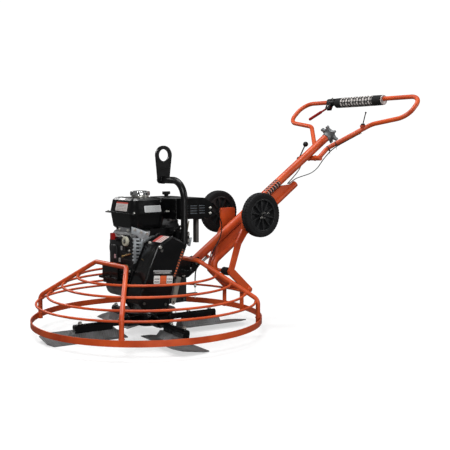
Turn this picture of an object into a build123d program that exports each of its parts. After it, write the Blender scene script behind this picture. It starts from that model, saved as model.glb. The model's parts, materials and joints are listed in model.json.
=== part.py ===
from build123d import *
import math
import os

# Walk-behind power trowel, 36 inch class.  Millimetres, +Z up.
# Origin: rotor axis where it meets the floor.  +X points to the operator,
# -Y is the side with the belt drive, the blades stand on z = 0.

os.makedirs("parts", exist_ok=True)

# ---- driving dimensions -------------------------------------------------
RING_R = 482.5            # outer radius of the guard ring
RING_Z = (50.0, 75.0)
BAND_T = 5.0
ROD_R = 5.0               # guard rods
RODS = ((290.0, 246.0), (352.0, 211.0), (412.0, 171.0), (458.0, 140.0))
CAGE_R = 9.5              # cage arm tube
CROSS = (177.0, 120.0, 305.0)      # bend of a cage tube: x, y, z
ARM_BEND = (330.0, 330.0, 150.0)
ARM_FOOT_Z = 52.0

WORM_X, GEAR_Z = -105.0, 205.0     # worm shaft axis, along Y
WORM_TIP_R = 23.6
WHEEL_TEETH = 40
DRUM_R = 100.0                     # gearbox drum
DRUM_Z = (168.0, 238.0)
TUNNEL_R = 40.0
BOSS_R = 30.0                      # boss the thrust collar slides on
SHAFT_R = 15.0
FIT = 0.05                         # running clearance, radial

CRANK_X, CRANK_Z = -36.0, 361.0    # engine crankshaft axis, along Y
DECK_Z = (246.0, 255.0)
BELT_Y = -175.0
DRUM_PULLEY_R, GEAR_PULLEY_R = 36.0, 50.0
GUARD_Y = (-127.0, -222.0)

ROTOR_TURN = -6.0                  # angle of the first arm at rest
ARM_Z, ARM_R = 58.0, 12.5
BLADE_IN, BLADE_OUT = 112.0, 447.0
BLADE_TRAIL, BLADE_LEAD = 50.0, 100.0
BLADE_T = 4.0
BRACKET_TOP = 38.0                 # top of the blade's bracket, in the arm's own tilted frame
PITCH = 9.0                        # blade pitch at rest, leading edge up
FORK_PIVOT = (130.0, 140.0)        # x, z
COLLAR_Z = (113.0, 139.0)
TRUNNION_Z = 126.0                 # height of the collar's two pins

HANDLE_SLOPE = 34.0                # main tube above the horizontal
HANDLE_AT = Vector(864.0, 0, 703.5)
MAIN_R, MAIN_BORE = 19.5, 16.5
MAIN_S = (-758.0, 230.0)           # stations of the tube's ends along its axis
BRACE_DROP = 69.5                  # brace axis below the main tube axis
BRACE_R = 16.0

LOOP_R = 11.0                      # handlebar loop tube
LOOP_HALF = ((966, 45, 735), (1028, 42, 783), (1165, 205, 898), (1190, 400, 928), (1301, 400, 1029))
LOOP_RADII = (38, 70, 68, 70)
BAR_X, BAR_Z = 1301.0, 1029.0
PAD_R, PAD_DROP = 26.5, 6.0

PIVOT = (490.0, 145.0)             # wheel carriage pivot: x, z
AXLE = (501.0, 485.0)
LEG_Y = (70.0, 82.0)
WHEEL_Y, WHEEL_R, TYRE_W = 150.0, 99.0, 40.0
AXLE_R = 8.0


# ---- helpers --------------------------------------------------------------
def box(x0, x1, y0, y1, z0, z1):
    """Block between two corners."""
    return Pos((x0 + x1) / 2, (y0 + y1) / 2, (z0 + z1) / 2) * Box(abs(x1 - x0), abs(y1 - y0), abs(z1 - z0))


def rod(r, a, b):
    """Round bar from point a to point b."""
    a, b = Vector(*a), Vector(*b)
    plane = Plane(origin=a, z_dir=b - a)
    return plane * Cylinder(r, (b - a).length, align=(Align.CENTER, Align.CENTER, Align.MIN))


def disc(r, z0, z1, x=0.0, y=0.0):
    return rod(r, (x, y, z0), (x, y, z1))


def ring(r, hole, z0, z1, x=0.0, y=0.0):
    return disc(r, z0, z1, x, y) - disc(hole, z0 - 1, z1 + 1, x, y)


def yrod(r, y0, y1, x, z):
    """Round bar along Y."""
    return rod(r, (x, y0, z), (x, y1, z))


def plate(points, y0, y1):
    """Outline in the XZ plane, extruded from y0 to y1."""
    face = make_face(Polyline([(x, y0, z) for x, z in points], close=True))
    return Part() + extrude(face, y1 - y0, dir=(0, 1, 0))


def prism(points, z0, z1):
    """Outline in the XY plane, extruded from z0 to z1."""
    face = make_face(Polyline([(x, y, z0) for x, y in points], close=True))
    return Part() + extrude(face, z1 - z0, dir=(0, 0, 1))


def bent(r, points, radii, bore=0.0):
    """Bar or tube centred on straight runs joined by tangent arcs."""
    path = FilletPolyline(*points, radius=list(radii))
    end = Plane(origin=path @ 0, z_dir=path % 0)
    solid = sweep(end * Circle(r), path=path)
    return solid - sweep(end * Circle(bore), path=path) if bore else solid


def cable(name, r, points):
    """Cord along a route; each arc is as large as its two runs allow."""
    pts = [Vector(*p) for p in points]
    radii = []
    for a, b, c in zip(pts, pts[1:], pts[2:]):
        half = math.radians((b - a).get_angle(c - b)) / 2
        radii.append(0.45 * min((b - a).length, (c - b).length) / math.tan(half))
    path = FilletPolyline(*pts, radius=radii)
    solid = sweep(Plane(origin=path @ 0, z_dir=path % 0) * Circle(r), path=path)
    print(name, "length", round(path.length), "radii", [round(v) for v in radii],
          "volume ratio", round(solid.volume / (math.pi * r * r * path.length), 3))
    return solid


def turned(profile, x, z):
    """Profile of (radius, y) points turned about a Y axis through x, z."""
    pts = [(x + r, y, z) for r, y in profile]
    return revolve(make_face(Polyline(pts, close=True)), Axis((x, 0, z), (0, 1, 0)))


def four(shape, start=0.0):
    """Four copies about the rotor axis."""
    return [Rot(0, 0, start + 90 * k) * shape for k in range(4)]


def hexbolt(a, direction, size, shank=0.0):
    """Hexagon head on a shank; a is the seat, direction points out of the head."""
    d = Vector(*direction).normalized()
    head = Plane(origin=Vector(*a), z_dir=d) * extrude(RegularPolygon(size, 6), 0.62 * size)
    if shank == 0:
        return head
    return head + rod(size * 0.5, a, tuple(Vector(*a) - d * shank))


def joined(items):
    body = Part()
    for item in items:
        body += item
    return body


def save(name, shape):
    """One STEP per sub-part: a single solid, or a group of separate ones."""
    solids = shape if isinstance(shape, list) else [shape]
    solids = [s for item in solids for s in item.solids()]
    out = solids[0] if len(solids) == 1 else Compound(children=solids)
    out.label = name
    export_step(out, f"parts/{name}.step")


def along(s, drop=0.0, y=0.0):
    """Point at station s of the main tube, dropped square to its axis."""
    a = math.radians(HANDLE_SLOPE)
    u, n = Vector(math.cos(a), 0, math.sin(a)), Vector(math.sin(a), 0, -math.cos(a))
    p = HANDLE_AT + u * s + n * drop
    return (p.X, y, p.Z)


# ---- guard cage -----------------------------------------------------------
def guard_ring():
    return ring(RING_R, RING_R - BAND_T, *RING_Z)


def guard_rods():
    """Upper three rods stop on the rear cage tube, the lowest one runs all round."""
    rods = []
    for r, z in RODS:
        loop = Pos(0, 0, z) * Torus(r, ROD_R)
        if r != RODS[-1][0]:
            reach = 600
            loop -= prism([(0, 0), (reach, -reach), (reach, reach)], z - 20, z + 20)
        rods.append(loop)
    return rods


def cage_tube(side):
    x, y, z = CROSS
    bx, by, bz = ARM_BEND
    half = [(side * bx, -by, ARM_FOOT_Z), (side * bx, -by, bz), (side * x, -y, z)]
    other = [(px, -py, pz) for px, py, pz in reversed(half)]
    return bent(CAGE_R, half + other, (36, 26, 26, 36), CAGE_R - 2.5)


def carriage_mount():
    x, z = PIVOT
    sleeve = yrod(13, -67, 67, x, z) - yrod(AXLE_R + FIT, -70, 70, x, z)
    posts = []
    for s in (-1, 1):
        post = box(459, 473, s * 62 - 6, s * 62 + 6, 52, 150) + box(459, 484, s * 62 - 6, s * 62 + 6, 134, 152)
        posts.append(post - yrod(12, -80, 80, x, z))
    return joined([sleeve] + posts)


# ---- gearbox and drive ----------------------------------------------------
BEARING_Y = ((-98.0, -80.0), (74.0, 92.0))
CAP_Y = (-110.0, 104.0)


def gearbox_housing():
    z0, z1 = DRUM_Z
    body = disc(DRUM_R, z0, z1) + yrod(TUNNEL_R, -98, 92, WORM_X, GEAR_Z) + disc(BOSS_R, 120, z0)
    body += box(-150, 60, -88, 84, 222, z1)
    for s in (-1, 1):
        body += box(70, 146, s * 64, s * 78, 128, z1 - 10)
        body -= yrod(6, s * 60, s * 82, *FORK_PIVOT)
    body -= disc(DRUM_R - 9, 177, z1 + 1)
    body -= yrod(31, -120, -60, WORM_X, GEAR_Z) + yrod(31, 60, 110, WORM_X, GEAR_Z)
    body -= yrod(27, -70, 70, WORM_X, GEAR_Z)
    body -= disc(SHAFT_R + 1, 100, 200) + disc(26, 119, 140) + disc(26, 160, 178)
    for k in range(12):
        rib = box(DRUM_R - 4, DRUM_R + 5, -2.5, 2.5, z0, z1)
        if k not in (5, 6, 7):
            body += Rot(0, 0, 30 * k) * rib
    return body


def gearbox_caps():
    """Top cover and the two worm bearing caps."""
    z1 = DRUM_Z[1]
    cover = prism([(-150, -88), (98, -88), (98, 88), (-150, 88)], z1, DECK_Z[0] - 0.2)
    cover -= yrod(TUNNEL_R + 0.2, -100, 100, WORM_X, GEAR_Z)
    front = yrod(39, CAP_Y[0], -98, WORM_X, GEAR_Z) - yrod(13, -120, -90, WORM_X, GEAR_Z)
    rear = yrod(34, 92, CAP_Y[1], WORM_X, GEAR_Z) + yrod(20, CAP_Y[1], CAP_Y[1] + 8, WORM_X, GEAR_Z)
    return [cover, front, rear]


def gearbox_bearings():
    worm = [yrod(31, a, b, WORM_X, GEAR_Z) - yrod(12.5, a - 1, b + 1, WORM_X, GEAR_Z) for a, b in BEARING_Y]
    lower, upper = ring(26, SHAFT_R, 122, 138), ring(26, SHAFT_R, 161, 176)
    return worm + [lower, upper]


def output_shaft():
    return disc(SHAFT_R - FIT, 40, 232) + disc(19, 178, 184)


def worm_wheel():
    """Forty-tooth bronze wheel, clear of the worm by a backlash gap."""
    root, tip = 76.0, -WORM_X - WORM_TIP_R - 0.7
    pitch = 360.0 / WHEEL_TEETH
    wheel = ring(root, SHAFT_R - FIT, GEAR_Z - 14, GEAR_Z + 14) - ring(64, 30, GEAR_Z + 6, GEAR_Z + 20)
    tooth = prism([(root - 2, -3.6), (tip, -1.7), (tip, 1.7), (root - 2, 3.6)], GEAR_Z - 14, GEAR_Z + 14)
    for k in range(WHEEL_TEETH):
        wheel += Rot(0, 0, pitch * k) * tooth
    return wheel


def worm_shaft():
    shaft = yrod(12.5 - FIT, -192, 90, WORM_X, GEAR_Z) + yrod(17, -79, 73, WORM_X, GEAR_Z)
    shaft += turned([(16, -46), (16, 46), (19, 46), (19, -46)], WORM_X, GEAR_Z)
    lead = 11.5
    for k in range(-3, 4):
        crest = [(18, -4 + lead * k), (WORM_TIP_R, -1.8 + lead * k), (WORM_TIP_R, 1.8 + lead * k), (18, 4 + lead * k)]
        shaft += turned(crest, WORM_X, GEAR_Z)
    return shaft


def pulley(r, bore, x, z):
    """Grooved for a 12 mm belt whose middle runs at radius r."""
    y = BELT_Y
    profile = [(bore, y - 12), (r + 7, y - 12), (r + 7, y - 8.6), (r - 6, y - 6.6), (r - 6, y + 6.6),
               (r + 7, y + 8.6), (r + 7, y + 12), (bore, y + 12)]
    return turned(profile, x, z)


def gearbox_pulley():
    body = pulley(GEAR_PULLEY_R, 12.5, WORM_X, GEAR_Z)
    for k in range(5):
        a = math.radians(72 * k + 20)
        body -= yrod(8, -200, -150, WORM_X + 28 * math.cos(a), GEAR_Z + 28 * math.sin(a))
    return body


def clutch_drum():
    """Pulley and bell in one; it idles on the crankshaft until the shoes grip."""
    body = pulley(DRUM_PULLEY_R, 11.1, CRANK_X, CRANK_Z)
    bell = turned([(11.1, -163), (46, -163), (46, -131), (43, -131), (43, -158), (11.1, -158)], CRANK_X, CRANK_Z)
    return body + bell


def crankshaft():
    """Shaft with the clutch shoe carrier at one end and the flywheel at the other."""
    shaft = yrod(11, -196, 108, CRANK_X, CRANK_Z)
    shoes = turned([(11, -154), (42, -154), (42, -133), (11, -133)], CRANK_X, CRANK_Z)
    for a in (30, 150, 270):
        c, s = math.cos(math.radians(a)), math.sin(math.radians(a))
        shoes -= rod(2.5, (CRANK_X + 20 * c, -140, CRANK_Z + 20 * s), (CRANK_X + 60 * c, -140, CRANK_Z + 60 * s))
    wheel = turned([(11, 84), (62, 84), (62, 104), (11, 104)], CRANK_X, CRANK_Z)
    return shaft + shoes + wheel


def drive_belt():
    """V-belt loop round both pulleys."""
    y = BELT_Y

    def hull(extra):
        a = Pos(CRANK_X, CRANK_Z) * Circle(DRUM_PULLEY_R + extra)
        b = Pos(WORM_X, GEAR_Z) * Circle(GEAR_PULLEY_R + extra)
        return make_hull(a.edges() + b.edges())

    loop = hull(4) - hull(-5)
    solid = extrude(loop, 12)
    return Plane(origin=(0, y + 6, 0), x_dir=(1, 0, 0), z_dir=(0, -1, 0)) * solid


def deck_plate():
    """Engine deck, with an angle under each cage crossbar."""
    x, _, z = CROSS
    deck = prism([(-150, -100), (150, -100), (150, 96), (-150, 96)], *DECK_Z)
    for s in (-1, 1):
        deck += box(s * 145, s * (x + 14), -72, 72, *DECK_Z)
        deck += box(s * (x - 4), s * (x + 4), -60, 60, DECK_Z[1], z)
    for s in (-1, 1):
        deck -= yrod(CAGE_R, -80, 80, s * x, z)
    deck += box(-159, -150.2, -96, 92, 222, DECK_Z[0])
    return deck


GUARD_OUT = [(-92, 394), (-23, 429), (48, 392), (-16, 240), (-47, 142), (-160, 142), (-184, 172), (-180, 212)]


def inset(points, d):
    """The outline moved inwards by d along each side."""
    n = len(points)
    lines = []
    for k in range(n):
        (x0, z0), (x1, z1) = points[k], points[(k + 1) % n]
        length = math.hypot(x1 - x0, z1 - z0)
        ux, uz = (x1 - x0) / length, (z1 - z0) / length
        lines.append((x0 + uz * d, z0 - ux * d, ux, uz))
    out = []
    for k in range(n):
        ax, az, aux, auz = lines[k - 1]
        bx, bz, bux, buz = lines[k]
        cross = aux * buz - auz * bux
        t = ((bx - ax) * buz - (bz - az) * bux) / cross
        out.append((ax + aux * t, az + auz * t))
    return out


def belt_guard():
    """Open-backed case over the belt; the back plate closes it."""
    back, front = GUARD_Y
    shell = plate(GUARD_OUT, front, back)
    front_edges = [e for e in shell.edges() if abs(e.center().Y - front) < 0.1]
    shell = fillet(front_edges, 6)
    return shell - plate(inset(GUARD_OUT, 2.5), front + 2.5, back + 1)


def guard_back_plate():
    back = GUARD_Y[0]
    body = plate(inset(GUARD_OUT, -5), back + 0.1, back + 2.6)
    body -= yrod(48, -140, -110, CRANK_X, CRANK_Z) + yrod(32, -140, -110, WORM_X, GEAR_Z)
    body += box(-60, -30, back + 2.6, -92, 239, DECK_Z[0] - 0.1)
    return body


# ---- engine ---------------------------------------------------------------
TANK = (-128.0, 55.0, -90.0, 120.0)
TANK_SEAM, TANK_TOP = 512.0, 573.0
CYL_TILT = 25.0


def cyl_at(d, side=0.0, y=0.0):
    """Point at distance d along the slanted cylinder's axis."""
    a = math.radians(CYL_TILT)
    return (CRANK_X + d * math.cos(a) - side * math.sin(a), y, CRANK_Z + d * math.sin(a) + side * math.cos(a))


def cyl_block(d0, d1, half, y0, y1):
    """Block square to the cylinder axis."""
    corners = [cyl_at(d0, -half), cyl_at(d1, -half), cyl_at(d1, half), cyl_at(d0, half)]
    return plate([(p[0], p[2]) for p in corners], y0, y1)


def engine_block():
    body = plate([(-136, 255), (52, 255), (52, 300), (30, 440), (-110, 440), (-136, 405)], -104, 74)
    body = chamfer(body.edges().filter_by(Axis.Y), 7)
    body += box(-150, 70, -96, 66, 255, 266)
    body += yrod(62, -112, -100, CRANK_X, CRANK_Z)
    body += cyl_block(60, 132, 34, -46, 40)
    for k in range(7):
        d = 70 + 9 * k
        body += cyl_block(d, d + 3.5, 42, -62, 56)
    body += cyl_block(131, 166, 44, -60, 54)
    body += rod(17, (-154, -74, 404), (-130, -74, 404)) + rod(8, (-158, -74, 404), (-150, -74, 404))
    body += rod(9, (-150, -66, 296), (-130, -66, 296)) + rod(13, (-146, 36, 300), (-130, 36, 300))
    for k in range(4):
        z = 300 + 26 * k
        body += box(-141, -130, -96, -34, z, z + 4)
    body -= yrod(11.5, -120, 80, CRANK_X, CRANK_Z)
    body -= yrod(80, 60, 78, CRANK_X, CRANK_Z)
    return body


def valve_cover():
    body = cyl_block(166.1, 190, 40, -48, 42)
    return fillet(body.edges().group_by(Axis.X)[-1], 5)


def tank_body(wall):
    """Upper and lower halves of the tank, shrunk by a wall thickness."""
    x0, x1, y0, y1 = TANK
    inset_u, inset_l = 6 + wall, 8 + wall
    middle = ((x0 + x1) / 2, (y0 + y1) / 2, TANK_SEAM)
    upper_plan = RectangleRounded(x1 - x0 - 2 * inset_u, y1 - y0 - 2 * inset_u, 32)
    lower_plan = RectangleRounded(x1 - x0 - 2 * inset_l, y1 - y0 - 2 * inset_l, 30)
    upper = Pos(*middle) * extrude(upper_plan, TANK_TOP - wall - TANK_SEAM, taper=12)
    upper = chamfer(upper.faces().sort_by(Axis.Z)[-1].edges(), 9)
    lower = Pos(*middle) * extrude(lower_plan, TANK_SEAM - 446 - wall, dir=(0, 0, -1), taper=10)
    lower = chamfer(lower.faces().sort_by(Axis.Z)[0].edges(), 8)
    return upper + lower


def fuel_tank():
    """Steel tank with a rolled seam, a filler neck with its strainer cup, and four feet."""
    x0, x1, y0, y1 = TANK
    flange = box(x0 - 4, x1 + 4, y0 - 4, y1 + 4, 510, 514.5)
    flange = fillet(flange.edges().filter_by(Axis.Z), 14)
    body = tank_body(0) + flange - tank_body(3) - disc(28, 566, 600, -20, 20)
    body += ring(30, 25.5, 543, 578, -20, 20) + disc(30, 541, 543.5, -20, 20)
    for x in (-106, -6):
        for y in (-74, 50):
            body += box(x, x + 18, y, y + 20, 440.2, 448.5)
    return body


def fuel_cap():
    cap = disc(40, 580, 598, -20, 20)
    for k in range(12):
        a = math.radians(30 * k)
        cap -= disc(5.5, 575, 605, -20 + 42 * math.cos(a), 20 + 42 * math.sin(a))
    skirt = ring(36, 30.6, 574, 580, -20, 20)
    return cap + skirt + disc(25, 568, 580, -20, 20)


def blower_housing():
    """Fan shroud, open towards the flywheel, with a duct over the cylinder."""
    duct = cyl_block(20, 112, 38, 76.2, 96)
    body = yrod(81, 76.2, 110, CRANK_X, CRANK_Z) - box(-200, 200, 60, 120, 440, 500) + duct
    return body - yrod(69, 70, 106, CRANK_X, CRANK_Z) - yrod(40, 100, 120, CRANK_X, CRANK_Z)


def recoil_housing():
    cover = yrod(69, 110.1, 130, CRANK_X, CRANK_Z) + yrod(50, 130, 138, CRANK_X, CRANK_Z)
    cover -= yrod(60, 105, 126, CRANK_X, CRANK_Z)
    for k in range(18):
        a = math.radians(20 * k)
        c, s = math.cos(a), math.sin(a)
        cover -= rod(3.2, (CRANK_X + 50 * c, 118, CRANK_Z + 50 * s), (CRANK_X + 90 * c, 118, CRANK_Z + 90 * s))
    cover += box(6, 38, 110.2, 128, 398, 424)
    return cover


def recoil_grip():
    """Starter handle, parked on its rope outlet."""
    return rod(7, (40.5, 119, 404), (60, 119, 408.9)) + rod(9, (60, 101, 408.9), (60, 137, 408.9))


def engine_switch():
    return rod(9, (-140, 18, 418), (-152, 18, 418)) + box(-162, -150, 9, 27, 405, 431)


def air_cleaner():
    case = box(98, 226, 44, 158, 486, 568)
    case = chamfer(case.edges().filter_by(Axis.Z), 18)
    case = chamfer(case.faces().sort_by(Axis.Z)[-1].edges(), 9)
    room = box(101, 223, 47, 155, 489, 558)
    case -= chamfer(room.edges().filter_by(Axis.Z), 17)
    stem = disc(9, 567, 578, 168, 100)
    knob = box(150, 186, 95, 105, 577, 590) + disc(12, 575, 583, 168, 100)
    elbow = box(100, 150, 57, 85, 452.1, 486.5)
    return case + stem + knob + elbow


def carburettor():
    return box(100, 146, 56, 96, 414, 452) + disc(19, 386, 414, 122, 76) + disc(5, 380, 388, 122, 76)


def muffler():
    can = box(70, 224, -112, -30, 486, 550)
    can = fillet(can.edges().filter_by(Axis.X), 18)
    room = box(73, 221, -109, -33, 489, 547)
    can -= fillet(room.edges().filter_by(Axis.X), 15)
    stay = box(178, 192, -106, -84, 380, 488)
    return can + stay + disc(13, 473, 488, 86, -48)


def muffler_guard():
    """Slotted black heat guard over the muffler, sloping down at its outlet end."""
    outline = [(60, 484), (60, 570), (204, 570), (248, 546), (248, 500), (230, 484)]
    room = [(64, 470), (64, 566), (203, 566), (244, 543.6), (244, 501.6), (227, 486), (227, 470)]
    shell = plate(outline, -127, -20) - plate(room, -123, -16)
    for row in range(4):
        z = 507 + 10.5 * row
        for x0, x1 in ((84, 122), (132, 168), (178, 208)):
            shell -= box(x0, x1, -135, -120, z, z + 5)
            shell -= box(x0, x1, -26, -10, z, z + 5)
    for z in (508, 530):
        shell -= rod(7, (240, -75, z), (256, -75, z))
    shell += box(160, 206, -127, -106.2, 480, 484.5)
    return shell


def lifting_bracket():
    """Bent tube bolted to the engine, carrying the lifting eye over the balance point."""
    x, y, z = 83.0, -152.0, 644.0
    tube = bent(14.5, [(x, y, 384), (x, y, z), (x, 26, z)], (78,), 11)
    foot = box(55, 116, y + 10, -128, 384, 432) + box(84, 112, -130, -60.2, 402, 430)
    lug = [(64, 629), (56, 638), (55, 660), (46.5, 744), (125.5, 744), (115, 660), (113, 638), (104, 629)]
    eye = yrod(40, -5, 5, 86, 748) + plate(lug, -5, 5) - yrod(25.5, -20, 20, 86, 748)
    return tube + eye + foot


# ---- handle ---------------------------------------------------------------
CABLE_STOP = (-684.0, 31.0)        # station and drop of the pitch cable's stop on the main tube


def handle_bracket():
    """Black side plates from the deck to a spigot inside the main tube."""
    arms = [(108, 245.8), (196, 245.8), (212, 262), (226, 298), (250, 306), (264, 284), (238, 250),
            (196, 222), (150, 214), (108, 226)]
    body = joined([plate(arms, s * 27, s * 20) for s in (-1, 1)])
    body += box(118, 150, -27, 27, 228, 245.8)
    spigot = rod(MAIN_BORE - 0.1, along(MAIN_S[0] - 22), along(MAIN_S[0] + 50))
    web = plate([(190, 226), (232, 252), (244, 270), (226, 296), (214, 262), (198, 245)], -20, 20)
    return body + web - rod(MAIN_R + 0.1, along(MAIN_S[0] - 0.1), along(0)) + spigot


def main_tube():
    tube = rod(MAIN_R, along(MAIN_S[0]), along(MAIN_S[1])) - rod(MAIN_BORE, along(MAIN_S[0] - 5), along(MAIN_S[1] + 5))
    s, drop = CABLE_STOP
    tube += rod(8, along(s, drop), along(s + 12, drop)) + rod(5, along(s + 6, MAIN_R - 1), along(s + 6, drop))
    plug = rod(MAIN_BORE, along(MAIN_S[1] - 30), along(MAIN_S[1] - 0.2))
    plug -= rod(6 + FIT, along(MAIN_S[1] - 40), along(MAIN_S[1] + 5))
    return [tube, plug]


def brace_tube():
    """Brace parallel to the main tube, a web between them, and its foot on the carriage mount."""
    top, bend = along(-61, BRACE_DROP), along(-673, BRACE_DROP)
    x, z = PIVOT
    tube = bent(BRACE_R, [top, bend, (372, 0, 212), (x, 0, z)], (38, 40), BRACE_R - 3)
    tube -= yrod(13, -80, 80, x, z)
    corners = [along(-150, MAIN_R), along(-75, BRACE_DROP - 8), along(-640, BRACE_DROP - 8), along(-600, MAIN_R)]
    web = plate([(p[0], p[2]) for p in corners], -10, 10)
    return tube + web - rod(MAIN_R, along(-800), along(0))


def handlebar():
    near = [(x, -y, z) for x, y, z in LOOP_HALF]
    radii = LOOP_RADII[:3] + (LOOP_RADII[3],) * 2 + LOOP_RADII[2::-1]
    loop = bent(LOOP_R, near + list(reversed(LOOP_HALF)), radii, LOOP_R - 2.5)
    x, _, z = LOOP_HALF[0]
    return loop + yrod(12, -58, 58, x, z) - rod(MAIN_R, along(0), along(200))


def grip_pad():
    """Foam sleeve, thicker below the bar than above it."""
    low = BAR_Z - PAD_DROP
    sleeve = rod(PAD_R, (BAR_X, -161, low), (BAR_X, 160, low))
    return sleeve - rod(LOOP_R, (BAR_X, -170, BAR_Z), (BAR_X, 170, BAR_Z))


LEVER_PIN = (1284.0, 196.0, 1004.0)
LEVER_AXIS = Vector(-0.894, 0, 0.447)
LEVER_TIP = (1254.0, 306.0, 944.0)
THROTTLE_AT = (1138.0, 172.5, 875.0)
BALL_PIN = (905.0, 29.0, 733.0)


def lever_clamps():
    """Safety lever clamp on the bar, throttle housing on the loop, ball lever boss on the tube."""
    hub = rod(19, (BAR_X, 163, BAR_Z), (BAR_X, 214, BAR_Z)) - rod(LOOP_R, (BAR_X, 150, BAR_Z), (BAR_X, 230, BAR_Z))
    x, y, z = LEVER_PIN
    ears = [Plane(origin=Vector(x, y, z) + LEVER_AXIS * s * 8.5, z_dir=LEVER_AXIS) * Box(30, 30, 5) for s in (-1, 1)]
    boss = joined(ears) + rod(13, (1290, y, 1012), (BAR_X, y, BAR_Z)) - rod(LOOP_R, (BAR_X, 150, BAR_Z), (BAR_X, 230, BAR_Z))
    boss -= Plane(origin=LEVER_PIN, z_dir=LEVER_AXIS) * Box(60, 60, 12)
    pin = rod(3, tuple(Vector(x, y, z) - LEVER_AXIS * 12), tuple(Vector(x, y, z) + LEVER_AXIS * 12))
    tx, ty, tz = THROTTLE_AT
    dome = Pos(tx, -ty, tz + 14) * Cylinder(14, 10) + Pos(tx, -ty, tz + 3) * Cylinder(12, 20)
    dome -= bent(LOOP_R, [(px, -py, pz) for px, py, pz in LOOP_HALF], LOOP_RADII[:3])
    bx, by, bz = BALL_PIN
    ball_boss = yrod(11, 14, by - 5, bx, bz) - rod(MAIN_R, along(-100), along(200))
    ball_boss += yrod(4, by - 6, by + 7, bx, bz)
    return [hub + boss + pin, dome, ball_boss]


def safety_lever():
    x, y, z = LEVER_PIN
    blade = bent(5.0, [LEVER_PIN, (1275, 232, 985), LEVER_TIP], (60,))
    hub = Plane(origin=LEVER_PIN, z_dir=LEVER_AXIS) * Cylinder(9, 9.6)
    knob = Pos(*LEVER_TIP) * Sphere(6.5)
    bore = rod(3 + FIT, tuple(Vector(x, y, z) - LEVER_AXIS * 20), tuple(Vector(x, y, z) + LEVER_AXIS * 20))
    return blade + hub + knob - bore


def throttle_lever():
    x, y, z = THROTTLE_AT
    stem = rod(2.6, (x, -y, z + 24), (x - 10, -y - 26, z + 78)) + Pos(x - 10, -y - 26, z + 78) * Sphere(4.5)
    return stem + Pos(x, -y, z + 23) * Cylinder(10, 7)


def ball_lever():
    x, y, z = BALL_PIN
    tip = (958, y + 9, 803)
    eye = yrod(9, y - 4.7, y + 5, x, z) - yrod(4 + FIT, y - 20, y + 20, x, z)
    stem = rod(3.2, (x + 5, y + 1, z + 6.5), tip)
    return eye + stem + Pos(*tip) * Sphere(13)


def star_knob():
    """Six-lobed pitch knob with its screw in the end of the main tube."""
    end = MAIN_S[1]
    seat = Plane(origin=along(end + 26), z_dir=Vector(*along(1)) - Vector(*along(0)))
    body = rod(21, along(end + 4), along(end + 36)) + rod(25, along(end + 28), along(end + 50))
    points = []
    for k in range(12):
        a = math.radians(30 * k + 12)
        reach = 29 if k % 2 else 46
        points.append((reach * math.cos(a), reach * math.sin(a)))
    body += seat * Pos(0, 0, 4) * extrude(make_face(Polyline(points, close=True)), 14)
    for k in range(6):
        body += seat * (Rot(0, 0, 60 * k + 12) * Pos(43, 0, 11) * Cylinder(6.5, 14))
    return body + rod(6, along(end - 70), along(end + 8)) + rod(13, along(end + 0.6), along(end + 8))


# ---- pitch control and rotor ------------------------------------------------


def pitch_fork():
    px, pz = FORK_PIVOT
    body = yrod(11, -60, 60, px, pz) + box(px - 2, 258, -8, 8, pz - 6, pz + 6)
    for s in (-1, 1):
        prong = plate([(-16, 115), (16, 115), (px, pz - 9), (px, pz + 9), (16, 137), (-16, 137)], s * 52, s * 59.5)
        prong -= box(-9, 9, s * 40, s * 70, TRUNNION_Z - 6.5, TRUNNION_Z + 6.5)
        body += prong
    return body - yrod(6 + FIT, -61, 61, px, pz) - disc(4, 100, 200, 250, 0)


def fork_pin():
    px, pz = FORK_PIVOT
    return yrod(6, -84, 84, px, pz)


def thrust_collar():
    z0, z1 = COLLAR_Z
    body = ring(47, BOSS_R + FIT, z0, z1)
    for s in (-1, 1):
        body += yrod(6, s * 44, s * 62, 0, TRUNNION_Z)
    return body


def pressure_plate():
    plate_z = ARM_Z + 40.3
    return ring(118, SHAFT_R + FIT, plate_z, plate_z + 5) + ring(46, SHAFT_R + FIT, plate_z + 5, COLLAR_Z[0] - 0.4)


def spider():
    """Hub with four sockets for the trowel arms."""
    body = disc(42, 36, 82)
    for socket in four(rod(20, (20, 0, ARM_Z), (97, 0, ARM_Z)), ROTOR_TURN):
        body += socket
    for bore in four(rod(ARM_R + FIT, (46, 0, ARM_Z), (120, 0, ARM_Z)), ROTOR_TURN):
        body -= bore
    return body - disc(SHAFT_R - FIT, 30, 90)


def blade_height():
    """Height of the blade's middle plane in the arm's own tilted frame."""
    a = math.radians(PITCH)
    return ARM_Z - (ARM_Z - BLADE_TRAIL * math.sin(a) - BLADE_T / 2) / math.cos(a)


def tilted(shape):
    """Turned about the arm's axis so that the leading edge, towards -Y, is up."""
    return Pos(0, 0, ARM_Z) * Rot(-PITCH, 0, 0) * Pos(0, 0, -ARM_Z) * shape


def trowel_arm():
    """Round shank, pitch lever on the trailing side, and the flat bar that the blade bolts to."""
    body = rod(ARM_R, (50, 0, ARM_Z), (332, 0, ARM_Z))
    lever = box(101, 117, 0, 50, ARM_Z - 8, ARM_Z + 10) + disc(6, ARM_Z, ARM_Z + 30, 109, 43)
    lever += Pos(109, 43, ARM_Z + 30.7) * Sphere(9) + rod(18, (98.5, 0, ARM_Z), (118, 0, ARM_Z))
    bar = box(168, 330, -14, 14, BRACKET_TOP + 0.1, ARM_Z + 2)
    studs = [disc(4.5, ARM_Z, ARM_Z + 20, x, 0) + disc(8, ARM_Z + 8, ARM_Z + 15, x, 0) for x in (200, 306)]
    return lever + body + tilted(bar + joined(studs))


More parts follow.
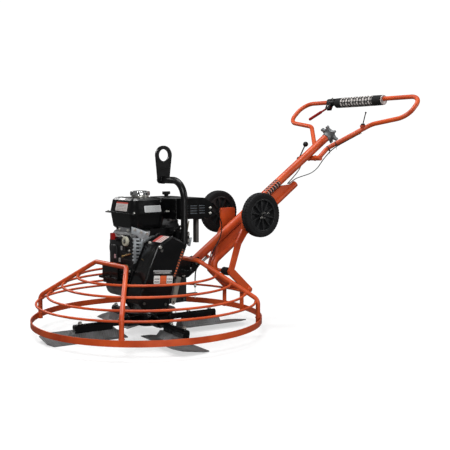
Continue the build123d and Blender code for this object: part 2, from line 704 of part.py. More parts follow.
def blade():
    """Steel blade with the folded bracket on its back."""
    mid = blade_height()
    top = mid + BLADE_T / 2
    outline = [(BLADE_IN, BLADE_TRAIL), (BLADE_OUT - 18, BLADE_TRAIL), (BLADE_OUT, BLADE_TRAIL - 34),
               (BLADE_OUT, 24 - BLADE_LEAD), (BLADE_OUT - 40, -BLADE_LEAD), (BLADE_IN + 34, -BLADE_LEAD),
               (BLADE_IN, 62 - BLADE_LEAD)]
    section = [(150, -36, top - 0.5), (150, 34, top - 0.5), (150, 17, BRACKET_TOP), (150, -19, BRACKET_TOP)]
    bracket = extrude(make_face(Polyline(section, close=True)), 190, dir=(1, 0, 0))
    return tilted(prism(outline, mid - BLADE_T / 2, top) + bracket)


# ---- transport carriage -------------------------------------------------------
LEG = [(479, 133), (380, 222), (379, 238), (420, 361), (455, 420), (455, 500), (462, 507),
       (528, 507), (535, 500), (535, 455), (487, 405), (447, 352), (408, 243), (501, 158)]


def carriage_frame():
    px, pz = PIVOT
    ax, az = AXLE
    body = Part()
    for s in (-1, 1):
        y0, y1 = s * LEG_Y[0], s * LEG_Y[1]
        leg = plate(LEG, y0, y1) + yrod(17, y0, y1, px, pz)
        leg += yrod(15, y0, s * 112, ax, az) + yrod(AXLE_R, y0, s * 184, ax, az)
        body += leg
    body += yrod(8, -LEG_Y[0], LEG_Y[0], 393, 232)
    body += yrod(AXLE_R, -92, 92, px, pz)
    for s in (-1, 1):
        body += yrod(13, s * LEG_Y[1], s * 92, px, pz)
    return body


def carriage_bumper():
    """Rubber sleeve on the cross rod that the parked carriage rests with."""
    return yrod(18, -58, -24, 393, 232) - yrod(8, -70, 0, 393, 232)


def wheel_hub(s):
    x, z = AXLE
    y = s * WHEEL_Y
    body = turned([(66, y - 17), (73, y - 17), (73, y + 17), (66, y + 17)], x, z)
    body += yrod(18, y - 20, y + 20, x, z)
    body += yrod(70, y - 2, y + 2, x, z)
    for k in range(10):
        a = 36 * k + 12
        spoke = Pos(x, y, z) * Rot(0, a, 0) * Pos(42, 0, 0) * Box(54, 26, 6)
        body += spoke
    return body - yrod(AXLE_R + FIT, y - 30, y + 30, x, z)


def tyre(s):
    x, z = AXLE
    y = s * WHEEL_Y
    w, r = TYRE_W / 2, WHEEL_R
    outline = [(73, y - 17), (80, y - w), (r - 8, y - w), (r - 2, y - w + 7), (r, y - w + 13),
               (r, y + w - 13), (r - 2, y + w - 7), (r - 8, y + w), (80, y + w), (73, y + 17)]
    return turned(outline, x, z)


def wheel_pins():
    """Washer and split pin that keep each wheel on its axle stub."""
    x, z = AXLE
    pins = []
    for s in (-1, 1):
        washer = yrod(14, s * 171, s * 174, x, z) - yrod(AXLE_R, s * 160, s * 190, x, z)
        pin = rod(1.8, (x - 14, s * 178, z - 8), (x + 18, s * 178, z + 10)) - yrod(AXLE_R, s * 160, s * 190, x, z)
        pins += [washer, pin]
    return pins


# ---- fasteners and cables ---------------------------------------------------------
def fasteners():
    """Bolts of the guard, deck, gearbox and handle bracket."""
    front = GUARD_Y[1]
    bolts = [hexbolt((x, front - 0.1, z), (0, -1, 0), 6) for x, z in ((-78, 374), (-162, 174), (-62, 160))]
    deck = [(x, y, 266) for x in (-143.2, 61) for y in (-80, 50)]
    bolts += [hexbolt(p, (0, 0, 1), 7) for p in deck]
    for s in (-1, 1):
        bolts += [hexbolt((x, s * 27.1, z), (0, s, 0), 7) for x, z in ((134, 237), (236, 280))]
        bolts.append(hexbolt((s * 187, 0, DECK_Z[1]), (0, 0, 1), 6))
    for k in range(4):
        a = math.radians(45 + 90 * k)
        bolts.append(hexbolt((WORM_X + 27 * math.cos(a), CAP_Y[1], GEAR_Z + 27 * math.sin(a)), (0, 1, 0), 4))
    return bolts


PITCH_ROUTE = [(250, 0, 178), (250, 0, 222), (256, 0, 250), along(-728, 31), along(CABLE_STOP[0], 31)]


def pitch_cable():
    """Sheath out of the main tube down to a ferrule, and the bare wire to the fork."""
    sheath = cable("pitch_cable", 3.0, PITCH_ROUTE)
    adjuster = rod(6.5, along(-722, 31), along(CABLE_STOP[0] - 0.1, 31))
    wire = disc(1.2, 124, 178, 250, 0) + disc(3.4, 119, 125, 250, 0)
    ferrule = disc(5, 168, 186, 250, 0)
    return joined([sheath, adjuster, wire, ferrule])


THROTTLE_ROUTE = [(1142, -160, 858), (1095, -104, 818), (1068, -72, 795), (1042, -55, 773), (1022, -50, 753),
                  (1000, -50, 735), (979, -50, 714), (961, -46, 690), (940, -40, 672), (916, -36, 660), (870, -24, 647),
                  (838, -10, 635), along(-98, 44, -4)]
LEVER_ROUTE = [(911.5, 21, 723), (914, 22, 707), (904, 18, 689), (880, 12, 668), (856, 8, 650), (838, 6, 637),
               along(-98, 43, 5)]
ENGINE_ROUTE = [(322, -22, 300), (330, -28, 330), (352, -34, 362), (366, -38, 396), (368, -42, 430), (360, -46, 462),
                (336, -50, 492), (300, -50, 512), (262, -52, 520)]


def control_cables():
    return [cable("throttle_cable", 2.5, THROTTLE_ROUTE), cable("lever_cable", 2.5, LEVER_ROUTE),
            cable("engine_cable", 2.5, ENGINE_ROUTE)]


# ---- write every piece ----------------------------------------------------------------
save("ring_band", guard_ring())
save("rod_rings", guard_rods())
save("cage_arms", [cage_tube(-1), cage_tube(1)])
save("carriage_mount", carriage_mount())
save("gearbox_housing", gearbox_housing())
save("gearbox_covers", gearbox_caps())
save("gearbox_bearings", gearbox_bearings())
save("output_shaft", output_shaft())
save("worm_wheel", worm_wheel())
save("worm_shaft", worm_shaft())
save("gearbox_pulley", gearbox_pulley())
save("clutch_drum", clutch_drum())
save("crankshaft", crankshaft())
save("drive_belt", drive_belt())
save("deck_plate", deck_plate())
save("belt_guard", belt_guard())
save("guard_back_plate", guard_back_plate())
save("engine_castings", [engine_block(), valve_cover()])
save("fuel_tank", fuel_tank())
save("fuel_cap", fuel_cap())
save("blower_housing", blower_housing())
save("recoil_housing", recoil_housing())
save("recoil_grip", recoil_grip())
save("engine_switch", engine_switch())
save("air_cleaner", air_cleaner())
save("carburettor", carburettor())
save("muffler", muffler())
save("muffler_guard", muffler_guard())
save("lifting_bracket", lifting_bracket())
save("handle_bracket", handle_bracket())
save("main_tube", main_tube())
save("brace_tube", brace_tube())
save("handlebar", handlebar())
save("grip_pad", grip_pad())
save("lever_clamps", lever_clamps())
save("safety_lever", safety_lever())
save("throttle_lever", throttle_lever())
save("ball_lever", ball_lever())
save("star_knob", star_knob())
save("pitch_fork", pitch_fork())
save("thrust_collar", thrust_collar())
save("pressure_plate", pressure_plate())
save("spider", spider())
for number, (arm, wing) in enumerate(zip(four(trowel_arm(), ROTOR_TURN), four(blade(), ROTOR_TURN)), 1):
    save(f"trowel_arm_{number}", arm)
    save(f"blade_{number}", wing)
save("carriage_frame", carriage_frame())
save("carriage_bumper", carriage_bumper())
for side, s in (("near", -1), ("far", 1)):
    save(f"hub_{side}", wheel_hub(s))
    save(f"tyre_{side}", tyre(s))
save("fasteners", fasteners() + [fork_pin()])
save("wheel_pins", wheel_pins())
save("control_cables", control_cables() + [pitch_cable()])
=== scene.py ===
"""Looks of the walk-behind power trowel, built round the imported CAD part.  Metres, +Z up."""

import json
import math
import random

import bmesh
import bpy
from mathutils import Matrix, Vector


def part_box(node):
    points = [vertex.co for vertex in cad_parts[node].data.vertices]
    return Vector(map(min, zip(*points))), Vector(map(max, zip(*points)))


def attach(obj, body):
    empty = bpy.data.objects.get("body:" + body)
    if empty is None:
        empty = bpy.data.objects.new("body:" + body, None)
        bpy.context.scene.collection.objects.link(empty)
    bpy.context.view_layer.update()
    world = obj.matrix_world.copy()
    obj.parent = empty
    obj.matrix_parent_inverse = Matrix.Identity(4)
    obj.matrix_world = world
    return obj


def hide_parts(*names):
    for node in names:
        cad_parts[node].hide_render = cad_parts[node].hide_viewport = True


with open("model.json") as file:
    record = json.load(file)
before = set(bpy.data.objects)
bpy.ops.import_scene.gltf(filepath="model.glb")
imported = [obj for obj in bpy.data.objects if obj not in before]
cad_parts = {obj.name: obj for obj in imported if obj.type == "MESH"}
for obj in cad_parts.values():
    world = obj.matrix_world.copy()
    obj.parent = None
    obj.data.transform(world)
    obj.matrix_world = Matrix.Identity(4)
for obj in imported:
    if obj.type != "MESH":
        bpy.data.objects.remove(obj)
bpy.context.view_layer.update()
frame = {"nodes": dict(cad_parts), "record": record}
nodes = frame["nodes"]
random.seed(7)

# Paint colours, linear light.
ORANGE = (0.56, 0.080, 0.016)
ORANGE_DEEP = (0.36, 0.038, 0.008)
BLACK = (0.004, 0.004, 0.0045)
BLACK_DEEP = (0.002, 0.002, 0.002)
PRINT_BLACK = (0.006, 0.006, 0.006)
WHITE = (0.66, 0.66, 0.64)
INK = (0.10, 0.10, 0.10)

# Directions: the operator stands aft, the belt guard is on the near side.
AFT, FORE = (1, 0, 0), (-1, 0, 0)
FAR, NEAR = (0, 1, 0), (0, -1, 0)
UP, DOWN = (0, 0, 1), (0, 0, -1)


# ---- material kit ----------------------------------------------------------------------------
class Shader:
    """One procedural material; its methods return node sockets."""

    def __init__(self, name, **fixed):
        self.mat = bpy.data.materials.new(name)
        self.mat.use_nodes = True
        self.tree = self.mat.node_tree
        self.bsdf = next(n for n in self.tree.nodes if n.type == "BSDF_PRINCIPLED")
        for key, value in fixed.items():
            self.bsdf.inputs[key.replace("_", " ")].default_value = value
        self.place = self.make("ShaderNodeTexCoord").outputs["Object"]

    def make(self, kind, **settings):
        node = self.tree.nodes.new(kind)
        for key, value in settings.items():
            setattr(node, key, value)
        return node

    def link(self, value, socket):
        if isinstance(value, bpy.types.NodeSocket):
            self.tree.links.new(value, socket)
        elif value is not None:
            socket.default_value = value if not isinstance(value, tuple) or len(value) != 3 else (*value, 1)

    def noise(self, scale, detail=4.0, rough=0.55, stretch=None):
        node = self.make("ShaderNodeTexNoise")
        node.inputs["Scale"].default_value = scale
        node.inputs["Detail"].default_value = detail
        node.inputs["Roughness"].default_value = rough
        self.tree.links.new(self.stretched(stretch), node.inputs["Vector"])
        return node.outputs["Fac"]

    def stretched(self, stretch):
        if stretch is None:
            return self.place
        mapping = self.make("ShaderNodeMapping")
        mapping.inputs["Scale"].default_value = stretch
        self.tree.links.new(self.place, mapping.inputs["Vector"])
        return mapping.outputs["Vector"]

    def cells(self, scale):
        node = self.make("ShaderNodeTexVoronoi")
        node.inputs["Scale"].default_value = scale
        self.tree.links.new(self.place, node.inputs["Vector"])
        return node.outputs["Distance"]

    def span(self, value, low, high, out_low=0.0, out_high=1.0):
        node = self.make("ShaderNodeMapRange", clamp=True)
        self.link(value, node.inputs["Value"])
        for key, number in (("From Min", low), ("From Max", high), ("To Min", out_low), ("To Max", out_high)):
            node.inputs[key].default_value = number
        return node.outputs["Result"]

    def patches(self, scale, detail, low, high, out_low=0.0, out_high=1.0):
        """Noise between low and high, spread from out_low to out_high."""
        return self.span(self.noise(scale, detail), low, high, out_low, out_high)

    def math(self, operation, a, b=0.0):
        node = self.make("ShaderNodeMath", operation=operation)
        self.link(a, node.inputs[0])
        self.link(b, node.inputs[1])
        return node.outputs[0]

    def plus(self, a, b):
        return self.math("ADD", a, b)

    def minus(self, a, b):
        return self.math("SUBTRACT", a, b)

    def times(self, *factors):
        product = factors[0]
        for factor in factors[1:]:
            product = self.math("MULTIPLY", product, factor)
        return product

    def mix(self, share, a, b):
        node = self.make("ShaderNodeMix", data_type="RGBA")
        self.link(share, node.inputs[0])
        self.link(a, node.inputs[6])
        self.link(b, node.inputs[7])
        return node.outputs[2]

    def edges(self, radius):
        """1 on sharp edges and corners, 0 on flats."""
        bevel = self.make("ShaderNodeBevel", samples=4)
        bevel.inputs["Radius"].default_value = radius
        geometry = self.make("ShaderNodeNewGeometry")
        dot = self.make("ShaderNodeVectorMath", operation="DOT_PRODUCT")
        self.tree.links.new(bevel.outputs["Normal"], dot.inputs[0])
        self.tree.links.new(geometry.outputs["Normal"], dot.inputs[1])
        return self.span(dot.outputs["Value"], 0.92, 0.74)

    def facing_up(self):
        geometry = self.make("ShaderNodeNewGeometry")
        split = self.make("ShaderNodeSeparateXYZ")
        self.tree.links.new(geometry.outputs["Normal"], split.inputs[0])
        return split.outputs["Z"]

    def axis(self, name):
        split = self.make("ShaderNodeSeparateXYZ")
        self.tree.links.new(self.place, split.inputs[0])
        return split.outputs[name]

    def bump(self, height, distance, strength=1.0, under=None):
        node = self.make("ShaderNodeBump")
        node.inputs["Strength"].default_value = strength
        node.inputs["Distance"].default_value = distance
        self.link(height, node.inputs["Height"])
        if under is not None:
            self.tree.links.new(under, node.inputs["Normal"])
        return node.outputs["Normal"]

    def grain(self, scale, detail, distance, strength=1.0, under=None):
        """Bumps of noise, laid over another normal if one is given."""
        return self.bump(self.noise(scale, detail), distance, strength, under)

    def finish(self, colour=None, rough=None, metal=None, normal=None):
        inputs = {"Base Color": colour, "Roughness": rough, "Metallic": metal, "Normal": normal}
        for key, value in inputs.items():
            if value is not None:
                self.link(value, self.bsdf.inputs[key])
        return self.mat


def paint(name, colour, deep, gloss=0.38, wear=0.25, dust=0.012, shine=0.28):
    """Sprayed enamel: orange peel, faint dust on top, thin rubbed edges."""
    s = Shader(name, IOR=1.5, Specular_IOR_Level=shine)
    cloud = s.patches(9, 5, 0.35, 0.7)
    base = s.mix(cloud, colour, deep)
    settled = s.times(s.span(s.facing_up(), 0.55, 0.95), s.patches(60, 6, 0.45, 0.7, 0, dust))
    base = s.mix(settled, base, (0.42, 0.38, 0.33))
    chips = s.times(s.edges(0.0012), s.patches(260, 5, 0.58 - 0.08 * wear, 0.68, 0, wear))
    base = s.mix(chips, base, (0.12, 0.11, 0.10))
    rough = s.plus(s.patches(38, 6, 0.3, 0.75, gloss - 0.06, gloss + 0.12), settled)
    peel = s.grain(500, 2, 0.00003, 0.08)
    return s.finish(base, rough, s.times(chips, 0.7), s.grain(45, 3, 0.0004, 0.08, peel))


def cast(name, light, dark, grain=700, metal=0.85, rough=0.48, bare=None):
    """Cast metal: fine grain, darker where oil has crept; outside the x range that bare gives, the colour
    turns near black.
    """
    s = Shader(name)
    stain = s.span(s.noise(22, 6, 0.65), 0.42, 0.72)
    colour = s.mix(stain, light, dark)
    rubbed = tuple(min(1, 1.4 * c + 0.02) for c in light)
    colour = s.mix(s.times(s.edges(0.0015), 0.4), colour, rubbed)
    if bare:
        # Near black outside the bare range; on the crankcase's front face this is painted shade.
        x = s.axis("X")
        dark_outside_span = s.math("MAXIMUM", s.span(x, bare[0] + 0.003, bare[0]), s.span(x, bare[1], bare[1] + 0.003))
        colour = s.mix(dark_outside_span, colour, (0.007, 0.007, 0.008))
        metal = s.times(s.minus(1.0, dark_outside_span), metal)
    surface = s.patches(90, 5, 0.3, 0.7, rough - 0.08, rough + 0.14)
    coarse = s.grain(grain / 5, 4, 0.0005, 0.35)
    return s.finish(colour, surface, metal, s.grain(grain, 3, 0.00025, 0.6, coarse))


def machined(name, colour, rough=0.28, stretch=(1, 1, 60), tarnish=0.3):
    """Turned or rolled metal with fine lines along one direction."""
    s = Shader(name, Metallic=1.0)
    lines = s.noise(70, 6, 0.7, stretch)
    spots = s.patches(35, 6, 0.5, 0.75, 0, tarnish)
    base = s.mix(spots, colour, tuple(0.45 * c for c in colour))
    base = s.mix(s.span(lines, 0.35, 0.65, 0, 0.35), base, tuple(0.7 * c for c in colour))
    surface = s.span(lines, 0.3, 0.7, rough - 0.08, rough + 0.16)
    return s.finish(base, surface, None, s.bump(lines, 0.0001, 0.4))


def plastic(name, colour, rough=0.42, grain=1200):
    """Moulded plastic with a spark-eroded grain and scuffed edges."""
    s = Shader(name, IOR=1.46, Specular_IOR_Level=0.3)
    scuffs = s.times(s.edges(0.0015), s.patches(180, 5, 0.45, 0.7, 0, 0.35))
    base = s.mix(s.patches(14, 4, 0.3, 0.7), colour, tuple(0.7 * c for c in colour))
    base = s.mix(scuffs, base, tuple(0.6 * c + 0.04 for c in colour))
    surface = s.patches(50, 5, 0.3, 0.7, rough - 0.07, rough + 0.12)
    return s.finish(base, surface, None, s.grain(grain, 2, 0.00012, 0.5))


def rubber(name, colour, dust=(0.17, 0.16, 0.145), rough=0.72):
    """Matt rubber, greyer where it has met the floor."""
    s = Shader(name, IOR=1.45, Specular_IOR_Level=0.22)
    bloom = s.span(s.noise(26, 7, 0.7), 0.50, 0.80, 0, 0.12)
    base = s.mix(bloom, colour, dust)
    fine = s.grain(1500, 2, 0.0001, 0.5)
    return s.finish(base, s.patches(70, 4, 0.3, 0.7, rough - 0.08, rough + 0.1), None,
                    s.grain(240, 4, 0.0003, 0.3, fine))


def blade_steel():
    """Dark spring steel, scratched in arcs, with dried cement near the edges."""
    s = Shader("blade_steel")
    around = s.make("ShaderNodeVectorMath", operation="LENGTH")
    flat = s.make("ShaderNodeMapping")
    flat.inputs["Scale"].default_value = (1, 1, 0)
    s.tree.links.new(s.place, flat.inputs["Vector"])
    s.tree.links.new(flat.outputs["Vector"], around.inputs[0])
    wave = s.make("ShaderNodeTexNoise", noise_dimensions="1D")
    wave.inputs["Scale"].default_value = 420
    wave.inputs["Detail"].default_value = 6
    s.tree.links.new(around.outputs["Value"], wave.inputs["W"])
    scratches = wave.outputs["Fac"]
    base = s.mix(s.span(scratches, 0.35, 0.7), (0.14, 0.144, 0.148), (0.32, 0.325, 0.33))
    heat = s.patches(12, 4, 0.45, 0.7, 0, 0.6)
    base = s.mix(heat, base, (0.085, 0.076, 0.068))
    cement = s.times(s.span(s.noise(55, 8, 0.7), 0.58, 0.68), s.patches(7, 3, 0.45, 0.62))
    base = s.mix(cement, base, (0.24, 0.235, 0.225))
    rough = s.plus(s.span(scratches, 0.3, 0.7, 0.27, 0.46), s.times(cement, 0.4))
    metal = s.minus(0.65, s.times(cement, 0.6))
    ridged = s.bump(scratches, 0.00008, 0.5)
    return s.finish(base, rough, metal, s.bump(cement, 0.0006, 0.6, ridged))


def heat_steel(name):
    """Muffler steel, grey with straw where it runs hot."""
    s = Shader(name, Metallic=0.8)
    band = s.span(s.noise(18, 6, 0.6), 0.35, 0.7)
    base = s.mix(band, (0.13, 0.125, 0.12), (0.07, 0.06, 0.055))
    base = s.mix(s.patches(130, 6, 0.58, 0.72, 0, 0.5), base, (0.20, 0.13, 0.08))
    return s.finish(base, s.patches(60, 5, 0.3, 0.7, 0.45, 0.75), None, s.grain(400, 4, 0.0002, 0.6))


MATERIALS = {
    "orange_paint": paint("orange_enamel", ORANGE, ORANGE_DEEP),
    "black_paint": paint("black_enamel", BLACK, BLACK_DEEP, gloss=0.16, wear=0.10, dust=0.006, shine=0.24),
    # Crankcase: painted shade below x -0.108 on the block's front face, near black above x 0 on the cylinder
    # end.
    "crankcase": cast("crankcase_aluminium", (0.36, 0.38, 0.39), (0.13, 0.13, 0.13), bare=(-0.108, 0.0)),
    "gearbox_iron": cast("gearbox_iron", (0.15, 0.155, 0.16), (0.05, 0.05, 0.052), 400, 0.2, 0.5,
                         bare=(-0.5, 0.09)),
    "bright_steel": machined("bright_steel", (0.56, 0.57, 0.58)),
    "blade_steel": blade_steel(),
    "zinc": machined("zinc_plate", (0.60, 0.59, 0.55), 0.33, (8, 8, 8), 0.5),
    "bronze": machined("bronze", (0.62, 0.42, 0.18), 0.3),
    "black_rubber": rubber("black_rubber", (0.007, 0.007, 0.007)),
    "tyre": rubber("tyre_rubber", (0.006, 0.006, 0.0065), dust=(0.08, 0.076, 0.07)),
    "hub_plastic": plastic("hub_plastic", (0.012, 0.0125, 0.0135), 0.34),
    "black_plastic": plastic("black_plastic", (0.005, 0.005, 0.0055)),
    "red_plastic": plastic("red_plastic", (0.30, 0.010, 0.008), 0.34),
    "grip_foam": rubber("grip_foam", (0.008, 0.008, 0.008)),
    "knob_cast": cast("knob_aluminium", (0.17, 0.18, 0.185), (0.09, 0.095, 0.10), 300, 0.25, 0.55),
    "cable_sheath": plastic("cable_sheath", (0.010, 0.010, 0.011), 0.4),
    "muffler_steel": heat_steel("muffler_steel"),
    "control_grey": cast("control_casting", (0.40, 0.43, 0.45), (0.22, 0.23, 0.24), 500, 0.5),
}


# ---- carried-over CAD nodes ------------------------------------------------------------------
NO_BEVEL = {"worm_wheel", "rod_rings", "control_cables", "worm_shaft", "lifting_bracket", "handlebar"}
slots = {row["node"]: row["material_slot"] for row in frame["record"]["subparts"]}


def dress(node):
    """Material, welded seams and small rounded edges on a carried-over node."""
    obj = nodes[node]
    obj.data.materials.clear()
    obj.data.materials.append(MATERIALS[slots[node]])
    weld = obj.modifiers.new("weld", "WELD")
    weld.merge_threshold = 0.00002
    if node not in NO_BEVEL:
        bevel = obj.modifiers.new("edges", "BEVEL")
        bevel.width = 0.0007
        bevel.segments = 2
        bevel.limit_method = "ANGLE"
        bevel.angle_limit = math.radians(38)
        bevel.use_clamp_overlap = True
    obj.modifiers.new("shading", "WEIGHTED_NORMAL").keep_sharp = True


def clamp_material():
    """Black clamp on the bar; the bosses nearer the main tube are dark orange: frame paint with painted
    shade.
    """
    s = Shader("clamp_two_tone", IOR=1.48, Specular_IOR_Level=0.28)
    # Deep orange on the bosses is painted shade over the frame's orange.
    base = s.mix(s.span(s.axis("X"), 1.215, 1.225), ORANGE_DEEP, (0.006, 0.006, 0.0065))
    base = s.mix(s.patches(90, 5, 0.5, 0.75, 0, 0.25), base, (0.03, 0.02, 0.018))
    return s.finish(base, s.patches(50, 5, 0.3, 0.7, 0.34, 0.5), None, s.grain(600, 2, 0.0001, 0.3))


for node in nodes:
    dress(node)
dulled_zinc = machined("dulled_zinc", (0.15, 0.147, 0.14), 0.42, (8, 8, 8), 0.7)
own_looks = {
    "lever_clamps": clamp_material(),
    "lifting_bracket": paint("satin_black", BLACK, BLACK_DEEP, gloss=0.32, wear=0.1, dust=0.006, shine=0.2),
    "fasteners": dulled_zinc,
    "wheel_pins": dulled_zinc,
}
for node, look in own_looks.items():
    nodes[node].data.materials[0] = look


# ---- mesh kit --------------------------------------------------------------------------------
def into_scene(obj):
    bpy.context.scene.collection.objects.link(obj)
    return obj


def basis(direction):
    """Three square unit vectors, the last one along direction."""
    w = Vector(direction).normalized()
    u = w.orthogonal().normalized()
    return u, w.cross(u), w


def mm(x, y, z):
    return Vector((x, y, z)) / 1000


def stepped(corners, count, closed=False):
    """Points along the straight runs between corners, count of them to each run."""
    ends = corners[1:] + corners[:1] if closed else corners[1:]
    return [a.lerp(b, k / count) for a, b in zip(corners, ends) for k in range(count)]


def turns(count):
    """Angles that divide a full turn evenly."""
    return [2 * math.pi * k / count for k in range(count)]


class Solid:
    """Closed shells gathered into one piece; it looks like its slot unless a material is given."""

    def __init__(self, name, slot, body="chassis", material=None, replaced=()):
        self.name, self.slot, self.body, self.replaced = name, slot, body, replaced
        self.material = material or MATERIALS[slot]
        self.bm = bmesh.new()

    def rings(self, rings, closed=False, caps=True):
        """Skin a row of rings, each a list of points."""
        rows = [[self.bm.verts.new(p) for p in ring] for ring in rings]
        pairs = list(zip(rows, rows[1:])) + ([(rows[-1], rows[0])] if closed else [])
        for a, b in pairs:
            for k in range(len(a)):
                j = (k + 1) % len(a)
                self.bm.faces.new((a[k], a[j], b[j], b[k]))
        if caps and not closed:
            self.bm.faces.new(rows[0][::-1])
            self.bm.faces.new(rows[-1])

    def lathe(self, profile, centre, axis, steps=32, hollow=False, ripple=None):
        """Turn (radius, height) pairs in millimetres about an axis; hollow closes the profile on itself."""
        u, v, w = basis(axis)
        rings = []
        for r, h in profile:
            row = []
            for k, a in enumerate(turns(steps)):
                rr = r if ripple is None else ripple(r, h, k)
                row.append(centre + (u * math.cos(a) + v * math.sin(a)) * rr / 1000 + w * h / 1000)
            rings.append(row)
        self.rings(rings, closed=hollow)

    def tube(self, points, radius, steps=10, closed=False, swell=None):
        """Round bar along dense points; swell varies its radius."""
        points = [Vector(p) for p in points]
        count = len(points)
        rings = []
        side = None
        for k, p in enumerate(points):
            ahead = points[(k + 1) % count] if closed else points[min(k + 1, count - 1)]
            behind = points[k - 1] if closed else points[max(k - 1, 0)]
            along = (ahead - behind).normalized()
            if side is None:
                side = along.orthogonal()
            side = (side - along * side.dot(along)).normalized()
            other = along.cross(side)
            r = radius * (swell(k) if swell else 1) / 1000
            rings.append([p + (side * math.cos(t) + other * math.sin(t)) * r for t in turns(steps)])
        self.rings(rings, closed=closed)

    def slab(self, outline, origin, right, up, thick, edge=0.0):
        """Flat outline in millimetres, extruded by thick, with an optional rounded front edge."""
        right, up = Vector(right).normalized(), Vector(up).normalized()
        out = right.cross(up)
        middle = [sum(c) / len(outline) for c in zip(*outline)]
        levels = [(0.0, 0.0)]
        if edge:
            levels += [(thick - edge, 0.0), (thick - 0.3 * edge, 0.3 * edge), (thick, edge)]
        else:
            levels.append((thick, 0.0))
        rings = []
        for height, draw in levels:
            row = []
            for x, y in outline:
                dx, dy = x - middle[0], y - middle[1]
                shrink = 1 - draw / max(math.hypot(dx, dy), 1e-6)
                row.append(origin + (right * (middle[0] + dx * shrink) + up * (middle[1] + dy * shrink) +
                                     out * height) / 1000)
            rings.append(row)
        self.rings(rings)

    def hexagon(self, seat, direction, across, height, washer=True):
        """Chamfered hexagon head on a washer; across is the size over the flats."""
        u, v, w = basis(direction)
        if washer:
            self.lathe([(across * 0.30, 0), (across * 0.72, 0), (across * 0.72, 1.0), (across * 0.68, 1.4),
                        (across * 0.30, 1.4)], seat, direction, 24, hollow=True)
            seat = seat + w * 0.0014
        corner = across / math.sqrt(3)
        rows = []
        for r, h in ((corner, 0), (corner, height * 0.82), (corner * 0.88, height)):
            around = [u * math.cos(a) + v * math.sin(a) for a in turns(6)]
            rows.append([seat + way * r / 1000 + w * h / 1000 for way in around])
        self.rings(rows)

    def weld_ring(self, centre, axis, ring_r, bead):
        """Ring of weld bead with lumps."""
        u, v, _ = basis(axis)
        steps = 26
        points = [centre + (u * math.cos(a) + v * math.sin(a)) * ring_r / 1000 for a in turns(steps)]
        lumps = [1 + 0.22 * random.uniform(-1, 1) for _ in range(steps)]
        self.tube(points, bead, 7, closed=True, swell=lambda k: lumps[k])

    def weld_line(self, a, b, bead):
        """Straight fillet bead from a to b."""
        count = max(4, round((b - a).length / 0.004))
        lumps = [1 + 0.25 * random.uniform(-1, 1) for _ in range(count + 1)]
        self.tube([a.lerp(b, k / count) for k in range(count + 1)], bead, 7, swell=lambda k: lumps[k])

    def done(self, smooth=35):
        """Put the piece in the scene; edges blunter than smooth degrees are shaded smooth."""
        bmesh.ops.recalc_face_normals(self.bm, faces=self.bm.faces)
        mesh = bpy.data.meshes.new(self.name)
        self.bm.to_mesh(mesh)
        self.bm.free()
        mesh.materials.append(self.material)
        obj = into_scene(bpy.data.objects.new(self.name, mesh))
        mesh.shade_smooth()
        mesh.set_sharp_from_angle(angle=math.radians(smooth))
        settle(obj, self.body, self.replaced)
        return obj


def bolt_heads(name, *groups):
    """Zinc hexagon heads; a group gives direction, size over flats, height and places in millimetres."""
    heads = Solid(name, "zinc")
    for direction, across, height, places in groups:
        for place in places:
            heads.hexagon(mm(*place), direction, across, height)
    heads.done()


def settle(obj, body, replaced):
    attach(obj, body)
    if replaced:
        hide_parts(*replaced)


def helix(a, b, radius, coils, steps=14):
    """Points of a coil from a to b, radius in millimetres."""
    u, v, _ = basis(b - a)
    count = coils * steps
    points = []
    for k in range(count + 1):
        t = 2 * math.pi * k / steps
        points.append(a.lerp(b, k / count) + (u * math.cos(t) + v * math.sin(t)) * radius / 1000)
    return points


def rounded(width, height, corner, steps=4):
    """Rounded rectangle centred on the origin."""
    points = []
    for cx, cy, start in ((1, 1, 0), (-1, 1, 90), (-1, -1, 180), (1, -1, 270)):
        for k in range(steps + 1):
            a = math.radians(start + 90 * k / steps)
            points.append((cx * (width / 2 - corner) + corner * math.cos(a),
                           cy * (height / 2 - corner) + corner * math.sin(a)))
    return points


def cord_curve(name, route, radius, material, replaced=()):
    """Smooth NURBS cord through its route, given in millimetres."""
    data = bpy.data.curves.new(name, "CURVE")
    data.dimensions = "3D"
    data.bevel_depth = radius / 1000
    data.bevel_resolution = 3
    data.resolution_u = 10
    data.use_fill_caps = True
    spline = data.splines.new("NURBS")
    spline.points.add(len(route) - 1)
    for point, place in zip(spline.points, route):
        point.co = (*mm(*place), 1)
    spline.order_u = 3
    spline.use_endpoint_u = True
    data.materials.append(material)
    settle(into_scene(bpy.data.objects.new(name, data)), "chassis", replaced)


# ---- handle ----------------------------------------------------------------------------------
SLOPE = math.radians(34)
HANDLE_AT = (864.0, 0.0, 703.5)
TUBE_U = Vector((math.cos(SLOPE), 0, math.sin(SLOPE)))
TUBE_N = Vector((math.sin(SLOPE), 0, -math.cos(SLOPE)))


def along(s, drop=0.0, y=0.0):
    """Point at station s of the main tube, dropped square to its axis, in millimetres."""
    p = Vector(HANDLE_AT) + TUBE_U * s + TUBE_N * drop
    return (p.x, y, p.z)


